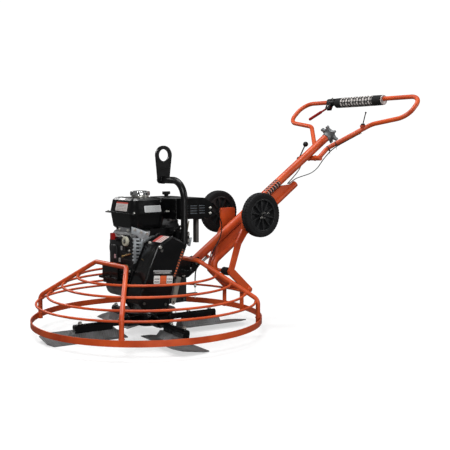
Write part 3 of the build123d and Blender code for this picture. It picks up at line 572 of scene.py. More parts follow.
def grip_material():
    """Black foam sleeve printed with plain white blocks in two rows."""
    s = Shader("grip_sleeve", IOR=1.45, Specular_IOR_Level=0.3)
    low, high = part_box("grip_pad")
    cx, cz = (low.x + high.x) / 2, (low.z + high.z) / 2
    y = s.axis("Y")
    turn = s.math("ARCTAN2", s.minus(s.axis("Z"), cz), s.minus(s.axis("X"), cx))
    wobble = s.times(s.minus(s.noise(60, 2), 0.5), 0.006)
    phase = s.plus(s.times(turn, 0.0035), wobble)
    band = s.math("FRACT", s.math("DIVIDE", s.plus(s.plus(y, phase), 1.0), 0.019))
    bars = s.span(band, 0.34, 0.38)
    hollow = s.math("FRACT", s.times(s.plus(turn, 4.0), 1.27))
    bars = s.times(bars, s.span(hollow, 0.20, 0.24))
    stations = s.math("FRACT", s.math("DIVIDE", s.plus(y, 1.0), 0.038))
    holes = s.times(s.span(stations, 0.42, 0.45), s.span(hollow, 0.60, 0.57))
    mask = s.times(bars, s.minus(1.0, s.times(holes, 0.75)))
    mask = s.times(mask, s.span(y, -0.104, -0.100), s.span(y, 0.112, 0.108))
    mask = s.times(mask, s.patches(420, 4, 0.28, 0.40))
    base = s.mix(mask, PRINT_BLACK, (0.50, 0.47, 0.45))
    pores = s.bump(s.cells(1400), 0.00025, 0.6)
    return s.finish(base, s.patches(90, 4, 0.3, 0.7, 0.68, 0.86), None, s.grain(160, 4, 0.0005, 0.3, pores))


def grip():
    """Foam sleeve: a little fuller in the middle, pinched near both ends, rounded rims."""
    low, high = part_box("grip_pad")
    centre = Vector(((low.x + high.x) / 2, (low.y + high.y) / 2, (low.z + high.z) / 2))
    half, full, bore, rise = (high.y - low.y) * 500, (high.z - low.z) * 500, 11.6, 6.0
    u, v, _ = basis(FAR)
    lift = math.atan2(v.z, u.z)

    def wall(r, h, k):
        """Outer skin with faint ripples; the bore sits above the sleeve's axis, round the bar."""
        turn = 2 * math.pi * k / 56
        if r > 16:
            return r + 0.22 * math.sin(h * 0.55 + 3 * math.sin(k * 0.45))
        return rise * math.cos(turn - lift) + math.sqrt(r * r - (rise * math.sin(turn - lift)) ** 2)

    outer = []
    steps = 44
    for k in range(steps + 1):
        h = half * (2 * k / steps - 1)
        edge = half - abs(h)
        r = full - 0.9 + 0.8 * math.cos(math.pi * h / (2 * half))
        if edge < 6:
            r -= 6 - math.sqrt(max(0.0, 36 - (6 - edge) ** 2))
        if 12 < edge < 22:
            r -= 1.3 * math.sin(math.pi * (edge - 12) / 10)
        outer.append((r, h))
    profile = outer + [(bore, half - 1.5), (bore, -half + 1.5)]
    sleeve = Solid("grip_sleeve", "grip_foam", material=grip_material(), replaced=("grip_pad",))
    sleeve.lathe(profile, centre, FAR, 56, hollow=True, ripple=wall)
    sleeve.done(50)
    # Pale ring on the sleeve's near end: a painted highlight on the foam's end face.
    pale = plastic("grip_end_highlight", (0.50, 0.44, 0.42), 0.35)
    collar = Solid("grip_end_highlight", "grip_foam", material=pale)
    end = -half + 1.2
    rim = ((12, 0), (24.4, 0), (24.9, -1), (24.2, -3.4), (22.6, -4.6), (20.5, -3.2), (12, -3.0))
    collar.lathe([(r, end + h) for r, h in rim], centre, FAR, 56, hollow=True, ripple=wall)
    collar.done()


THROTTLE_ROUTE = [(1142, -160, 858), (1095, -104, 818), (1068, -72, 795), (1042, -55, 773), (1022, -50, 753),
                  (1000, -50, 735), (979, -50, 714), (961, -46, 690), (940, -40, 672), (916, -36, 660),
                  (870, -24, 647), (838, -10, 635), along(-98, 44, -4)]
LEVER_ROUTE = [(911.5, 21, 723), (914, 22, 707), (904, 18, 689), (880, 12, 668), (856, 8, 650), (838, 6, 637),
               along(-98, 43, 5)]
ENGINE_ROUTE = [(322, -22, 300), (330, -28, 330), (352, -34, 362), (366, -38, 396), (368, -42, 430),
                (360, -46, 462), (336, -50, 492), (300, -50, 512), (262, -52, 520)]
PITCH_ROUTE = [(250, 0, 178), (250, 0, 222), (256, 0, 250), along(-728, 31), along(-684, 31)]


def two_tone_sheath():
    """Throttle cable: black near its lever, grey below the loop."""
    s = Shader("cable_two_tone", IOR=1.46, Specular_IOR_Level=0.3)
    tone = s.mix(s.span(s.axis("X"), 1.010, 1.014), (0.14, 0.15, 0.145), (0.010, 0.010, 0.011))
    base = s.mix(s.patches(30, 5, 0.5, 0.75, 0, 0.3), tone, (0.06, 0.058, 0.055))
    return s.finish(base, s.patches(60, 4, 0.3, 0.7, 0.34, 0.5), None, s.grain(1200, 2, 0.0001, 0.5))


def cables():
    """The four control cables with their ends, ties and the bare pitch wire."""
    black, grey = MATERIALS["cable_sheath"], plastic("cable_grey", (0.14, 0.15, 0.145), 0.45)
    cord_curve("cable_throttle", THROTTLE_ROUTE, 2.5, two_tone_sheath(), ("control_cables",))
    cord_curve("cable_lever", LEVER_ROUTE, 2.5, grey)
    cord_curve("cable_engine", ENGINE_ROUTE, 2.5, black)
    cord_curve("cable_pitch", PITCH_ROUTE, 3.0, black)
    ends = Solid("cable_ends", "zinc")
    wire = [mm(250, 0, z) for z in range(119, 181, 4)]
    ends.tube(wire, 1.2, 8)
    ends.lathe([(0.8, 0), (3.2, 0.4), (3.4, 3), (3.2, 5.6), (0.8, 6)], mm(250, 0, 119), UP, 16)
    ends.lathe([(1.4, 0), (4.6, 0), (5, 1), (5, 9), (4.2, 10), (4.2, 16), (3.2, 18), (1.4, 18)],
               mm(250, 0, 168), UP, 20)
    start, stop = mm(*along(-722, 31)), mm(*along(-684.4, 31))
    adjuster = [(1.5, 0), (6.3, 0), (6.5, 1), (6.5, 6), (5.2, 7), (5.2, 30), (6.5, 31), (6.5, 36.8),
                (1.5, 37)]
    ends.lathe(adjuster, start, stop - start, 24)
    for s in range(-712, -694, 4):
        ends.weld_ring(mm(*along(s, 31)), TUBE_U, 5.2, 0.9)
    for route in (THROTTLE_ROUTE, ENGINE_ROUTE):
        for tip, inner in ((route[0], route[1]), (route[-1], route[-2])):
            a, b = mm(*tip), mm(*inner)
            ends.lathe([(2.0, 0), (3.4, 0.3), (3.6, 2), (3.6, 10), (3.0, 13), (2.0, 13.4)], a, b - a, 18)
    ends.done()
    clip = Solid("engine_cable_clip", "zinc")
    clip.slab([(-8.5, -7), (8, -5), (8, 5), (-8.5, 7)], mm(256, -56, 520), AFT, UP, 2, 0.5)
    band = [(3.4, -3.5), (5.4, -3.5), (5.4, 3.5), (3.4, 3.5)]
    clip.lathe(band, mm(266.8, -51.7, 519), (38, 2, -8), 24, hollow=True)
    clip.done()
    bind = Solid("cable_ties", "black_plastic")
    ties = (((1028, -48, 781), (0.73, -0.34, 0.59)), ((1055, -74.6, 804), (0.565, -0.672, 0.474)))
    for place, direction in ties:
        centre = mm(*place)
        axis = Vector(direction).normalized()
        bind.lathe([(12.6, -2.2), (13.8, -2.2), (13.8, 2.2), (12.6, 2.2)], centre, axis, 36, hollow=True)
        side = axis.cross(Vector(UP)).normalized()
        head = centre + side * 0.0138 - mm(0, 0, 6)
        bind.slab(rounded(5, 7, 1.2), head, axis, UP, 4.5, 0.8)
        bind.tube([head, head + mm(1, -3, -11), head + mm(2, -4, -22)], 1.0, 6)
    bind.done()


def zebra_decal():
    """Slanted black blocks with small pale marks, wrapped on the main tube."""
    s = Shader("stripe_decal", Specular_IOR_Level=0.3)
    station = s.plus(s.times(s.axis("X"), TUBE_U.x), s.times(s.axis("Z"), TUBE_U.z))
    lean = s.plus(station, s.times(s.axis("Y"), 0.9))
    wave = s.math("FRACT", s.times(lean, 62.0))
    rows = s.math("FRACT", s.times(s.plus(s.axis("Y"), 1.0), 68.0))
    blocks = s.times(s.span(wave, 0.26, 0.30), s.span(rows, 0.16, 0.20))
    marks = s.times(s.span(wave, 0.14, 0.10), s.span(rows, 0.52, 0.56))
    base = s.mix(blocks, ORANGE, PRINT_BLACK)
    base = s.mix(marks, base, (0.52, 0.42, 0.38))
    base = s.mix(s.patches(300, 5, 0.66, 0.72, 0, 0.5), base, ORANGE_DEEP)
    material = s.finish(base, s.patches(80, 4, 0.3, 0.7, 0.32, 0.5))
    wrap = Solid("stripe_decal", "orange_paint", material=material)
    around = [TUBE_N * math.cos(a) + Vector(FAR) * math.sin(a) for a in turns(48)]
    hoops = []
    for radius, station in ((19.52, -245), (19.52, -150), (19.75, -150), (19.75, -245)):
        centre = mm(*along(station))
        hoops.append([centre + way * radius / 1000 for way in around])
    wrap.rings(hoops, closed=True)
    wrap.done()


def handle_welds():
    """Beads where the loop meets the main tube, along the web and round the brace's foot."""
    beads = Solid("handle_welds", "orange_paint")
    for s in (-1, 1):
        beads.weld_ring(mm(966, s * 21, 735), FAR, 12.4, 2.0)
        beads.weld_ring(mm(966, s * 45, 735), (0.79, 0, 0.61), 11.6, 1.8)
        for drop, a, b in ((20.5, -560, -170), (54.5, -600, -110)):
            beads.weld_line(mm(*along(a, drop, s * 10.6)), mm(*along(b, drop, s * 10.6)), 1.8)
        beads.weld_ring(mm(490, s * 20, 145), FAR, 13.8, 2.0)
    beads.done()


def levers():
    """Dipped sleeve and pin buttons of the safety lever, a spring and screws at the other levers."""
    pin, tip = mm(1284, 196, 1004), mm(1254, 306, 944)
    bend = mm(1275, 232, 985)
    sleeve = Solid("safety_lever_sleeve", "red_plastic", "safety")
    a, b = bend.lerp(tip, 0.12), tip
    count = 18
    sleeve.tube([a.lerp(b, k / count) for k in range(count + 1)], 7.6, 18,
                swell=lambda k: 0.92 if k == 0 else (1.05 if k % 3 == 0 else 1.0))
    sleeve.lathe([(0.5, -8.3), (4.2, -7.6), (7.0, -4.8), (8.2, 0), (7.0, 4.8), (4.2, 7.6), (0.5, 8.3)],
                 tip, tip - bend, 24)
    sleeve.done(60)
    bits = Solid("lever_hardware", "zinc")
    axis = Vector((-0.894, 0, 0.447))
    for s in (-1, 1):
        button = [(0.6, 0), (4.6, 0), (4.8, 0.8), (3.6, 2.4), (0.6, 2.8)]
        bits.lathe(button, pin + axis * 0.0112 * s, axis * s, 20)
    bits.hexagon(mm(1301, 188, 1048.3), UP, 8, 4)
    bits.hexagon(mm(905, 37.2, 733), FAR, 9, 4, washer=False)
    bits.tube(helix(mm(917, 24, 726), mm(917, 24, 712), 4.4, 6), 0.8, 6)
    bits.done()


# ---- wheels ----------------------------------------------------------------------------------
def tyres():
    """Semi-pneumatic tyres: three ribs, cross sipes and stepped side walls."""
    for side in ("near", "far"):
        low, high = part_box(f"tyre_{side}")
        centre = (low + high) / 2
        r, w = (high.z - low.z) * 500, (high.y - low.y) * 500
        wall = [(73.2, w - 3.2), (78, w - 1.2), (80.5, w - 0.4), (82, w - 1.6), (84, w - 1.6),
                (85.5, w - 0.2)]
        tread = [(r - 9, w - 0.1), (r - 5.2, w - 1.0), (r - 2.4, w - 3.4), (r - 0.9, w - 7), (r - 0.3, 9.6),
                 (r - 2.6, 9.0), (r - 2.6, 7.0), (r, 6.4), (r, 0.0)]
        half = wall + tread
        profile = half + [(a, -b) for a, b in reversed(half[:-1])]

        def sipes(radius, height, step):
            shoulder = r - 6 < radius <= r and abs(height) > 7 and step % 4 == 0
            middle = radius == r and step % 8 == 4
            return radius - (1.6 if shoulder or middle else 0)

        tyre = Solid(f"tyre_tread_{side}", "tyre", f"wheel_{side}", replaced=(f"tyre_{side}",))
        tyre.lathe(profile, centre, FAR, 192, hollow=True, ripple=sipes)
        tyre.done(32)
        trim = Solid(f"hub_trim_{side}", "hub_plastic", f"wheel_{side}")
        for face in (-1, 1):
            trim.weld_ring(centre + Vector((0, face * 0.0162, 0)), FAR, 69.5, 1.5)
            trim.weld_ring(centre + Vector((0, face * 0.0202, 0)), FAR, 13.5, 1.2)
        trim.done(60)
        bore = Solid(f"hub_bush_{side}", "zinc", f"wheel_{side}")
        bush = [(8.4, -20.6), (11.5, -20.6), (12, -20), (12, 20), (11.5, 20.6), (8.4, 20.6)]
        bore.lathe(bush, centre, FAR, 32, hollow=True)
        bore.done()


def axle_ends():
    """Shells over the axle's ends, the split pins' bent legs and the caps of the carriage's pivot."""
    shell = [(8.05, -9.8), (9.0, -9.8), (9.0, 0.2), (7.8, 1.0), (5.5, 1.6), (0.5, 1.8), (0.5, 0.3),
             (8.05, 0.2)]
    dome = [(9, -1), (12.5, 0), (13.2, 1.5), (12.4, 5), (9, 7.4), (4, 8.6), (0.5, 8.9)]
    ends = Solid("axle_ends", "zinc", "carriage")
    shells = Solid("axle_shells", "black_plastic", "carriage")
    for s in (-1, 1):
        shells.lathe(shell, mm(501, s * 184, 485), (0, s, 0), 24, hollow=True)
        leg = mm(516, s * 178, 494)
        ends.tube([leg, leg + mm(4, s * 2, 2), leg + mm(6, s * 5, -2)], 1.5, 8)
        eye = [mm(483 + 4 * math.cos(t), s * 178, 476 + 4 * math.sin(t)) for t in turns(12)]
        ends.tube(eye, 1.3, 8, closed=True)
    ends.done()
    shells.done()
    caps = Solid("pivot_ends", "orange_paint", "carriage")
    for s in (-1, 1):
        caps.lathe(dome, mm(490, s * 88, 145), (0, s, 0), 28)
    caps.done(60)


# ---- guard cage ------------------------------------------------------------------------------
RODS = ((290.0, 246.0), (352.0, 211.0), (412.0, 171.0), (458.0, 140.0))


def cage_welds():
    """Beads where each rod crosses a cage tube, and at the tubes' feet."""
    beads = Solid("cage_welds", "orange_paint")
    top, bend = Vector((177, 120, 305)), Vector((330, 330, 150))
    for sx in (-1, 1):
        for sy in (-1, 1):
            for r, z in RODS:
                low, high = 0.0, 1.0
                for _ in range(30):
                    middle = (low + high) / 2
                    p = top.lerp(bend, middle)
                    low, high = (middle, high) if math.hypot(p.x, p.y) < r else (low, middle)
                p = top.lerp(bend, low)
                spot = Vector((sx * p.x, sy * p.y, z))
                around = Vector((-spot.y, spot.x, 0)).normalized()
                for way in (-1, 1):
                    beads.weld_ring((spot + around * way * 9.2) / 1000, around, 6.0, 1.7)
            beads.weld_ring(mm(sx * 330, sy * 330, 76), UP, 10.6, 2.0)
    for s in (-1, 1):
        beads.weld_line(mm(472, s * 69, 54), mm(472, s * 69, 72), 2.0)
        beads.weld_line(mm(472.5, s * 55, 54), mm(472.5, s * 55, 72), 2.0)
        beads.weld_ring(mm(490, s * 55.6, 145), FAR, 13.6, 1.8)
    beads.done()


# ---- belt guard ------------------------------------------------------------------------------
def print_material(name, inks, rows, origin, right, up, size, split):
    """Printed sticker: a coloured block, and rows of plain bars in place of print."""
    ground, ink, accent = inks
    s = Shader(name, Coat_Weight=0.4, Coat_Roughness=0.2)
    right, up = Vector(right).normalized(), Vector(up).normalized()

    def share(direction, length):
        """How far across the sticker a point lies: 0 at one edge, 1 at the other."""
        dot = s.make("ShaderNodeVectorMath", operation="DOT_PRODUCT")
        s.tree.links.new(s.place, dot.inputs[0])
        dot.inputs[1].default_value = direction
        from_middle = s.minus(dot.outputs["Value"], origin.dot(direction))
        return s.plus(s.math("DIVIDE", from_middle, length / 1000), 0.5)

    across, rise = share(right, size[0]), share(up, size[1])
    lines = s.span(s.math("FRACT", s.times(rise, float(rows))), 0.50, 0.56)
    ragged = s.span(s.noise(900, 2, 0.5, (1, 1, 0.3)), 0.40, 0.46)
    inside = s.times(s.span(across, 0.07, 0.09), s.span(across, 0.93, 0.91))
    inside = s.times(inside, s.span(rise, split, split - 0.02), s.span(rise, 0.06, 0.08))
    bars = s.times(lines, ragged, inside)
    base = s.mix(s.span(rise, split + 0.03, split + 0.05), ground, accent)
    base = s.mix(bars, base, ink)
    base = s.mix(s.patches(120, 5, 0.6, 0.75, 0, 0.25), base, (0.3, 0.28, 0.25))
    return s.finish(base, s.patches(60, 4, 0.3, 0.7, 0.3, 0.5))


def sticker(name, centre, right, up, size, inks, rows, split):
    """Thin rounded sticker; sizes in millimetres, inks are the ground, the bars and the block above them."""
    middle = mm(*centre)
    material = print_material(name, inks, rows, middle, right, up, size, split)
    plate = Solid(name, "black_plastic", material=material)
    plate.slab(rounded(*size, 3), middle, right, up, 0.45)
    plate.done()


def belt_guard_details():
    """Rolled front rim, bolts and spacers, stickers, and the slotted strap behind its right edge."""
    guard = [(-92, 394), (-23, 429), (48, 392), (-16, 240), (-47, 142), (-160, 142), (-184, 172), (-180, 212)]
    low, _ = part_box("belt_guard")
    y = low.y * 1000
    rim = Solid("guard_rim", "black_paint")
    centre = mm(-70, y - 0.2, 280)
    edge = stepped([mm(x, y - 0.2, z) for x, z in guard], 8, closed=True)
    rim.tube([p - (p - centre).normalized() * 0.0075 for p in edge], 1.6, 8, closed=True)
    rim.done(60)
    studs = Solid("guard_studs", "black_paint")
    washer = [(7.2, 0), (10.5, 0), (10.8, 0.8), (10.4, 1.5), (7.2, 1.5)]
    for x, z in ((-162, 174), (-62, 160)):
        studs.lathe(washer, mm(x, y, z), NEAR, 28, hollow=True)
    studs.done()
    bolt_heads("guard_bolts", (NEAR, 9, 4, [(-83, y, 388)]),
               ((-0.452, 0, 0.892), 9, 4, [(-82, -146, 399.2)]))
    level, rise = (1, 0, -0.085), (0.085, 0, 1)
    face = y - 0.3
    sticker("guard_sticker_low", (-74, face, 288), level, rise, (88, 17),
            (PRINT_BLACK, (0.50, 0.50, 0.49), (0.30, 0.30, 0.30)), 2, 0.62)
    signs = ((WHITE, INK), ((0.62, 0.10, 0.022), (0.50, 0.08, 0.02)), (WHITE, INK))
    for k, (tint, dark) in enumerate(signs):
        sticker(f"guard_sticker_{k}", (-101 + 30 * k, face, 261 - 2.6 * k), level, rise, (29, 32),
                (tint, dark, tint), 3, 0.8)
    sticker("guard_sticker_top", (-51, -178, 415.1), (69, 0, 35), FAR, (46, 62),
            ((0.60, 0.50, 0.48), (0.30, 0.06, 0.05), (0.45, 0.06, 0.05)), 4, 0.60)
    sticker("guard_edge_strip", (3.5, face, 317), (0.922, 0, -0.388), (0.388, 0, 0.922), (11, 124),
            (PRINT_BLACK, (0.62, 0.12, 0.03), PRINT_BLACK), 11, 0.97)


def deck_strut():
    """Flat grey stay with its bolt hole, from the deck down to the gearbox beside the belt guard."""
    dull = cast("strut_zinc", (0.34, 0.32, 0.28), (0.16, 0.14, 0.12), 500, 0.1)
    strut = Solid("deck_strut", "zinc", material=dull)
    head, foot, side = Vector((78, -121.5, 244)), Vector((48, -121.5, 142)), Vector((0.96, 0, -0.28))
    back = Vector((0, 2.5, 0))
    left, right = [], []
    for k in range(13):
        point = head.lerp(foot, k / 12)
        left.append(point - side * 11)
        right.append(point + side * 11)
    tip = [foot + (side * math.cos(a) - Vector((0.28, 0, 0.96)) * math.sin(a)) * 11
           for a in (math.pi * k / 10 for k in range(1, 10))]
    outline = left[::-1] + right + tip
    strut.rings([[p / 1000 for p in outline], [(p + back) / 1000 for p in outline]])
    strut.lathe([(3.6, 0), (7.5, 0), (7.5, 1.2), (3.6, 1.2)], (foot - Vector((0, 0.1, 0))) / 1000, NEAR, 28,
                hollow=True)
    strut.done()
    hole = Solid("strut_hole", "black_plastic")
    hole.lathe([(0.4, 0), (3.5, 0), (3.5, 0.6), (0.4, 0.5)], (foot - Vector((0, 0.1, 0))) / 1000, NEAR, 20)
    hole.done()


# ---- engine ----------------------------------------------------------------------------------
CRANK = Vector((-36, 0, 361))
TILT = math.radians(25)
CAP_AT = (-20, 20)
DRUM_AT = (-140, -74, 404)


def cyl_at(d, side=0.0, y=0.0):
    return Vector((CRANK.x + d * math.cos(TILT) - side * math.sin(TILT), y,
                   CRANK.z + d * math.sin(TILT) + side * math.cos(TILT)))


def tank_details():
    """Seam bolts, stickers and the vented cap of the fuel tank."""
    low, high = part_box("fuel_tank")
    x0, x1, y0, y1 = (v * 1000 for v in (low.x, high.x, low.y, high.y))
    rim = ((x0 + 12, y0 + 3), (x1 - 12, y0 + 3), (x0 + 3, y1 - 30), (x1 - 3, y1 - 30), (x1 - 3, y0 + 30))
    bolt_heads("tank_screws", (UP, 7, 4, [(x, y, 514.6) for x, y in rim]))
    grey, cream, dark = (0.46, 0.47, 0.47), (0.50, 0.49, 0.47), (0.16, 0.16, 0.16)
    sticker("tank_sticker_front", (-116.8, 8, 538.1), NEAR, (0.208, 0, 0.978), (88, 36),
            ((0.58, 0.53, 0.51), (0.20, 0.17, 0.17), (0.50, 0.05, 0.03)), 6, 0.80)
    sticker("tank_sticker_side", (-24, -80.6, 529.5), AFT, (0, 0.208, 0.978), (80, 27),
            (grey, dark, grey), 6, 0.9)
    sticker("tank_sticker_edge", (-105.6, 20, 568.6), NEAR, (0.707, 0, 0.707), (46, 9),
            (cream, dark, cream), 2, 0.9)
    seam = Solid("tank_beads", "black_paint")
    for y in (-46, -32, 74):
        seam.tube([mm(x0 + 40 + 6 * k, y, 573.2) for k in range(5)], 2.2, 8)
        seam.tube([mm(x1 - 62 + 6 * k, y, 573.2) for k in range(5)], 2.2, 8)
    seam.done(60)
    chrome = machined("cap_chrome", (0.72, 0.73, 0.74), 0.16, (4, 4, 4), 0.2)
    cap = Solid("fuel_cap_top", "zinc", "cap", chrome)
    disc = [(0.4, 0), (27, 0), (29, 0.8), (29, 1.6), (26, 2.4), (12, 2.0), (9, 3.4), (0.4, 3.6)]
    skirt = [(40.1, 582), (40.9, 582.6), (41.2, 584), (41.2, 594), (40.6, 596.6), (38.2, 598.3), (33, 598.4),
             (33, 597.9), (40.1, 596.9)]
    cap.lathe(disc, mm(*CAP_AT, 597.9), UP, 36)
    cap.lathe(skirt, mm(*CAP_AT, 0), UP, 120, hollow=True,
              ripple=lambda r, h, k: r - (1.0 if k % 15 < 3 and 583 < h < 597 and r > 40.5 else 0))
    cap.done()
    notches = Solid("fuel_cap_notches", "zinc", "cap", MATERIALS["black_rubber"])
    for k in range(8):
        a = math.radians(45 * k + 5)
        out = Vector((math.cos(a), math.sin(a), 0))
        spot = mm(*CAP_AT, 589) + out * 0.0402
        notches.slab(rounded(8.5, 9.5, 1.6), spot, out.cross(Vector(DOWN)), UP, 1.2, 0.3)
    notches.done()


def shade_panel():
    """Dark panel on the front of the block, a sheet of painted shade, with the governor drum, a hose, a rod
    and small tags.
    """
    # The flat black panel is painted shade over the block's front face; the hose and collar on it are parts.
    panel = Solid("shade_panel", "black_plastic")
    panel.slab(rounded(160, 156, 18), mm(-136.1, -15, 350), NEAR, UP, 4, 1.6)
    panel.slab(rounded(52, 84, 14), mm(-140.0, 30, 340), NEAR, UP, 7, 2.5)
    panel.tube([mm(-143 - 3 * math.sin(t), -20 + 34 * math.cos(t), 362 + 52 * math.sin(t))
                for t in (0.1 * k for k in range(8, 32))], 4.0, 10)
    collar = [(17.2, 0), (21.5, 0), (22, 1), (22, 5), (20, 6), (17.2, 6)]
    panel.lathe(collar, mm(*DRUM_AT), FORE, 40, hollow=True)
    panel.done(60)
    cream = plastic("drum_cream", (0.46, 0.45, 0.36), 0.4)
    drum = Solid("governor_drum", "black_plastic", material=cream)
    cup = [(17.3, 4), (18.6, 4), (19, 5), (19, 15), (17.5, 17), (9, 17), (8.2, 14.6), (17.3, 14.4)]
    drum.lathe(cup, mm(*DRUM_AT), FORE, 40, hollow=True)
    drum.done()
    drum_face = Solid("drum_face", "zinc")
    drum_face.hexagon(mm(*DRUM_AT) - mm(18, 0, 0), FORE, 9, 3, washer=False)
    drum_face.done()
    rod = Solid("choke_rod", "bronze")
    rod.tube([mm(-146, -44 - 6 * k, 340 + 1.6 * k) for k in range(11)], 2.6, 10)
    rod.lathe([(1, 0), (4.6, 0), (5, 1), (5, 7), (1, 7)], mm(-143, -46, 341), FORE, 20)
    rod.done()
    tags = (((-147.3, 14, 336), (0.50, 0.28, 0.30)), ((-140.3, -10, 322), (0.44, 0.42, 0.40)),
            ((-140.3, -26, 372), (0.30, 0.31, 0.32)))
    for k, (place, tint) in enumerate(tags):
        sticker(f"panel_tag_{k}", place, NEAR, UP, (13, 17), (tint, (0.12, 0.10, 0.10), tint), 3, 0.9)


def light_castings():
    """Light ribbed side of the block, the plates, shroud and link below the tank."""
    ribs = Solid("block_ribs", "crankcase", material=MATERIALS["control_grey"])
    for k in range(7):
        centre = mm(-112 - 1.2 * k, -100.2, 412 - 14 * k)
        ribs.slab(rounded(46 - 1.5 * k, 7.5, 2.4), centre, (1, 0, -0.12), (0.12, 0, 1), 7, 2.0)
    ribs.slab([(-5, -52), (5, -48), (5, 52), (-5, 48)], mm(-128, -100.2, 366), AFT, UP, 9, 2.0)
    ribs.slab([(-4, -46), (4, -42), (4, 40), (-4, 44)], mm(-94, -100.2, 372), AFT, UP, 8, 2.0)
    ribs.done()
    plates = Solid("control_bracket", "crankcase", material=MATERIALS["control_grey"])
    upper = [(-70, 30), (-44, 22), (-20, 14), (12, 2), (8, -10), (-18, -18), (-30, -30), (-42, -10), (-70, 4)]
    plates.slab(upper, mm(-72, -104.2, 434), AFT, UP, 3, 0.9)
    plates.slab([(-20, 18), (22, 17), (12, -20), (2, -16)], mm(132, -104.2, 386), AFT, UP, 6, 1.2)
    plates.done()
    low_plate = Solid("tank_stay", "gearbox_iron")
    low_plate.slab([(-42, -9), (40, -4), (42, 8), (-40, 12)], mm(-138.4, -46, 446), NEAR, UP, 3, 0.9)
    low_plate.done()
    bolt_heads("bracket_screws", (NEAR, 8, 4, [(-128, -107.3, 452), (-98, -107.3, 440), (-70, -107.3, 432)]),
               (FORE, 8, 4, [(-141.5, -14, 447), (-141.5, -78, 447)]))
    shroud = Solid("cylinder_shroud", "black_paint")
    shroud.slab([(-62, -10), (66, -22), (66, 26), (-50, 26)], mm(0, -100.2, 424), AFT, UP, 4, 1.4)
    shroud.tube([mm(-40 + 10 * k, -105, 420 + 0.6 * k) for k in range(10)], 3.0, 10)
    shroud.done()
    yellow = plastic("link_yellow", (0.42, 0.38, 0.24), 0.45)
    link = Solid("throttle_link", "cable_sheath", material=yellow)
    link.tube([mm(143 - 1.2 * k, -102, 474 - 6 * k) for k in range(9)], 2.6, 10)
    link.done(60)


def crankcase_details():
    """Oil filler, cover bolts, head bolts, return spring and the fuel hose."""
    ochre = plastic("oil_filler_plug", (0.20, 0.17, 0.09), 0.4)
    plug = Solid("oil_filler", "black_plastic", material=ochre)
    knob = [(4.8, 0), (12, 0), (13, 1), (13, 6), (7.2, 7), (6.6, 11), (0.5, 11.5)]
    plug.lathe(knob, mm(-140, -66, 296), FORE, 24,
               ripple=lambda r, h, k: r - (1.0 if k % 4 == 0 and r > 8 else 0))
    plug.done()
    bits = Solid("crankcase_bolts", "zinc")
    for y, z in ((-86, 282), (-86, 366), (8, 284), (52, 284)):
        bits.hexagon(mm(-140.1, y, z), FORE, 8, 4)
    for angle in range(80, 321, 60):
        a = math.radians(angle)
        bits.hexagon(mm(CRANK.x + 54 * math.cos(a), -112.1, CRANK.z + 54 * math.sin(a)), NEAR, 8, 4)
    for side in (-30, 30):
        for y in (-40, 34):
            bits.hexagon(cyl_at(190.2, side, y) / 1000, (math.cos(TILT), 0, math.sin(TILT)), 9, 5)
    bits.tube(helix(mm(-146, -52, 424), mm(-146, 30, 420), 4.0, 14), 0.8, 6)
    bits.done()
    hose = Solid("fuel_hose", "black_rubber")
    route = ((40, 70, 452), (58, 74, 446), (74, 78, 438), (88, 80, 430), (100, 80, 426))
    hose.tube([mm(*p) for p in route], 4.2, 12)
    hose.done(60)


def head_details():
    """Spark plug with its boot and lead."""
    boot = Solid("spark_boot", "black_rubber")
    seat = cyl_at(150, 10, -60) / 1000
    way = Vector((0.25, -0.85, 0.45)).normalized()
    boot.lathe([(4, 9), (8, 9), (8.6, 12), (7.8, 16), (8.4, 26), (7, 31), (4.5, 36), (4, 37)], seat, way, 24)
    tip = seat + way * 0.035
    lead = ((0, 0, 0), (4, -8, 6), (-10, -12, 4), (-30, -8, -6), (-52, 4, -16), (-74, 22, -18))
    boot.tube(stepped([tip + mm(*p) for p in lead], 5), 3.2, 10)
    boot.done(60)
    metal = Solid("spark_plug", "zinc")
    metal.hexagon(seat, way, 17, 9)
    metal.done()


def muffler_details():
    """Screws, louvre lips and the rolled lip of the heat guard."""
    low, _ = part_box("muffler_guard")
    face = low.y * 1000
    screws = Solid("muffler_screws", "zinc")
    for z in (503, 526):
        screws.lathe([(0.6, 0), (6.0, 0), (6.4, 1.2), (4.8, 3.4), (0.6, 4.2)], mm(236, face, z), NEAR, 20)
    screws.done()
    blue_grey = cast("louvre_steel", (0.20, 0.23, 0.26), (0.10, 0.11, 0.12), 700, 0.7)
    louvres = Solid("muffler_louvres", "muffler_steel", material=blue_grey)
    for row in range(4):
        z = 506.2 + 10.5 * row
        for x0, x1 in ((84, 122), (132, 168), (178, 208)):
            middle = mm((x0 + x1) / 2, face + 1, z)
            louvres.slab(rounded(x1 - x0 - 1, 2.6, 1.0), middle, AFT, (0, -0.35, 1), 1.8, 0.5)
    louvres.done()
    lip = Solid("muffler_lip", "muffler_steel")
    lip.tube([mm(82 + 8 * k, -121, 485) for k in range(18)], 3.0, 10)
    lip.done(60)


def lifting_details():
    """Bolts through the bracket's foot and the beads round the eye plate's root."""
    bolt_heads("lifting_bolts", (NEAR, 11, 6, [(62, -142.2, 396), (108, -142.2, 396), (108, -142.2, 422)]))
    bead = Solid("lifting_welds", "black_paint")
    for s in (-1, 1):
        bead.weld_ring(mm(83, s * 6, 644), FAR, 15.2, 1.8)
    bead.done(60)


def air_cleaner_details():
    """Bead round the foot of the air cleaner and its intake ribs."""
    trim = Solid("air_cleaner_trim", "black_plastic")
    x0, x1, y0, y1 = 98, 226, 44, 158
    cut = 18
    corners = [(x0 + cut, y0), (x1 - cut, y0), (x1, y0 + cut), (x1, y1 - cut),
               (x1 - cut, y1), (x0 + cut, y1), (x0, y1 - cut), (x0, y0 + cut)]
    trim.tube(stepped([mm(x, y, 506) for x, y in corners], 5, closed=True), 2.0, 8, closed=True)
    for k in range(7):
        trim.slab(rounded(3, 26, 1.4), mm(226.0, 80 + 7 * k, 536), FAR, UP, 1.6, 0.4)
    trim.done(60)


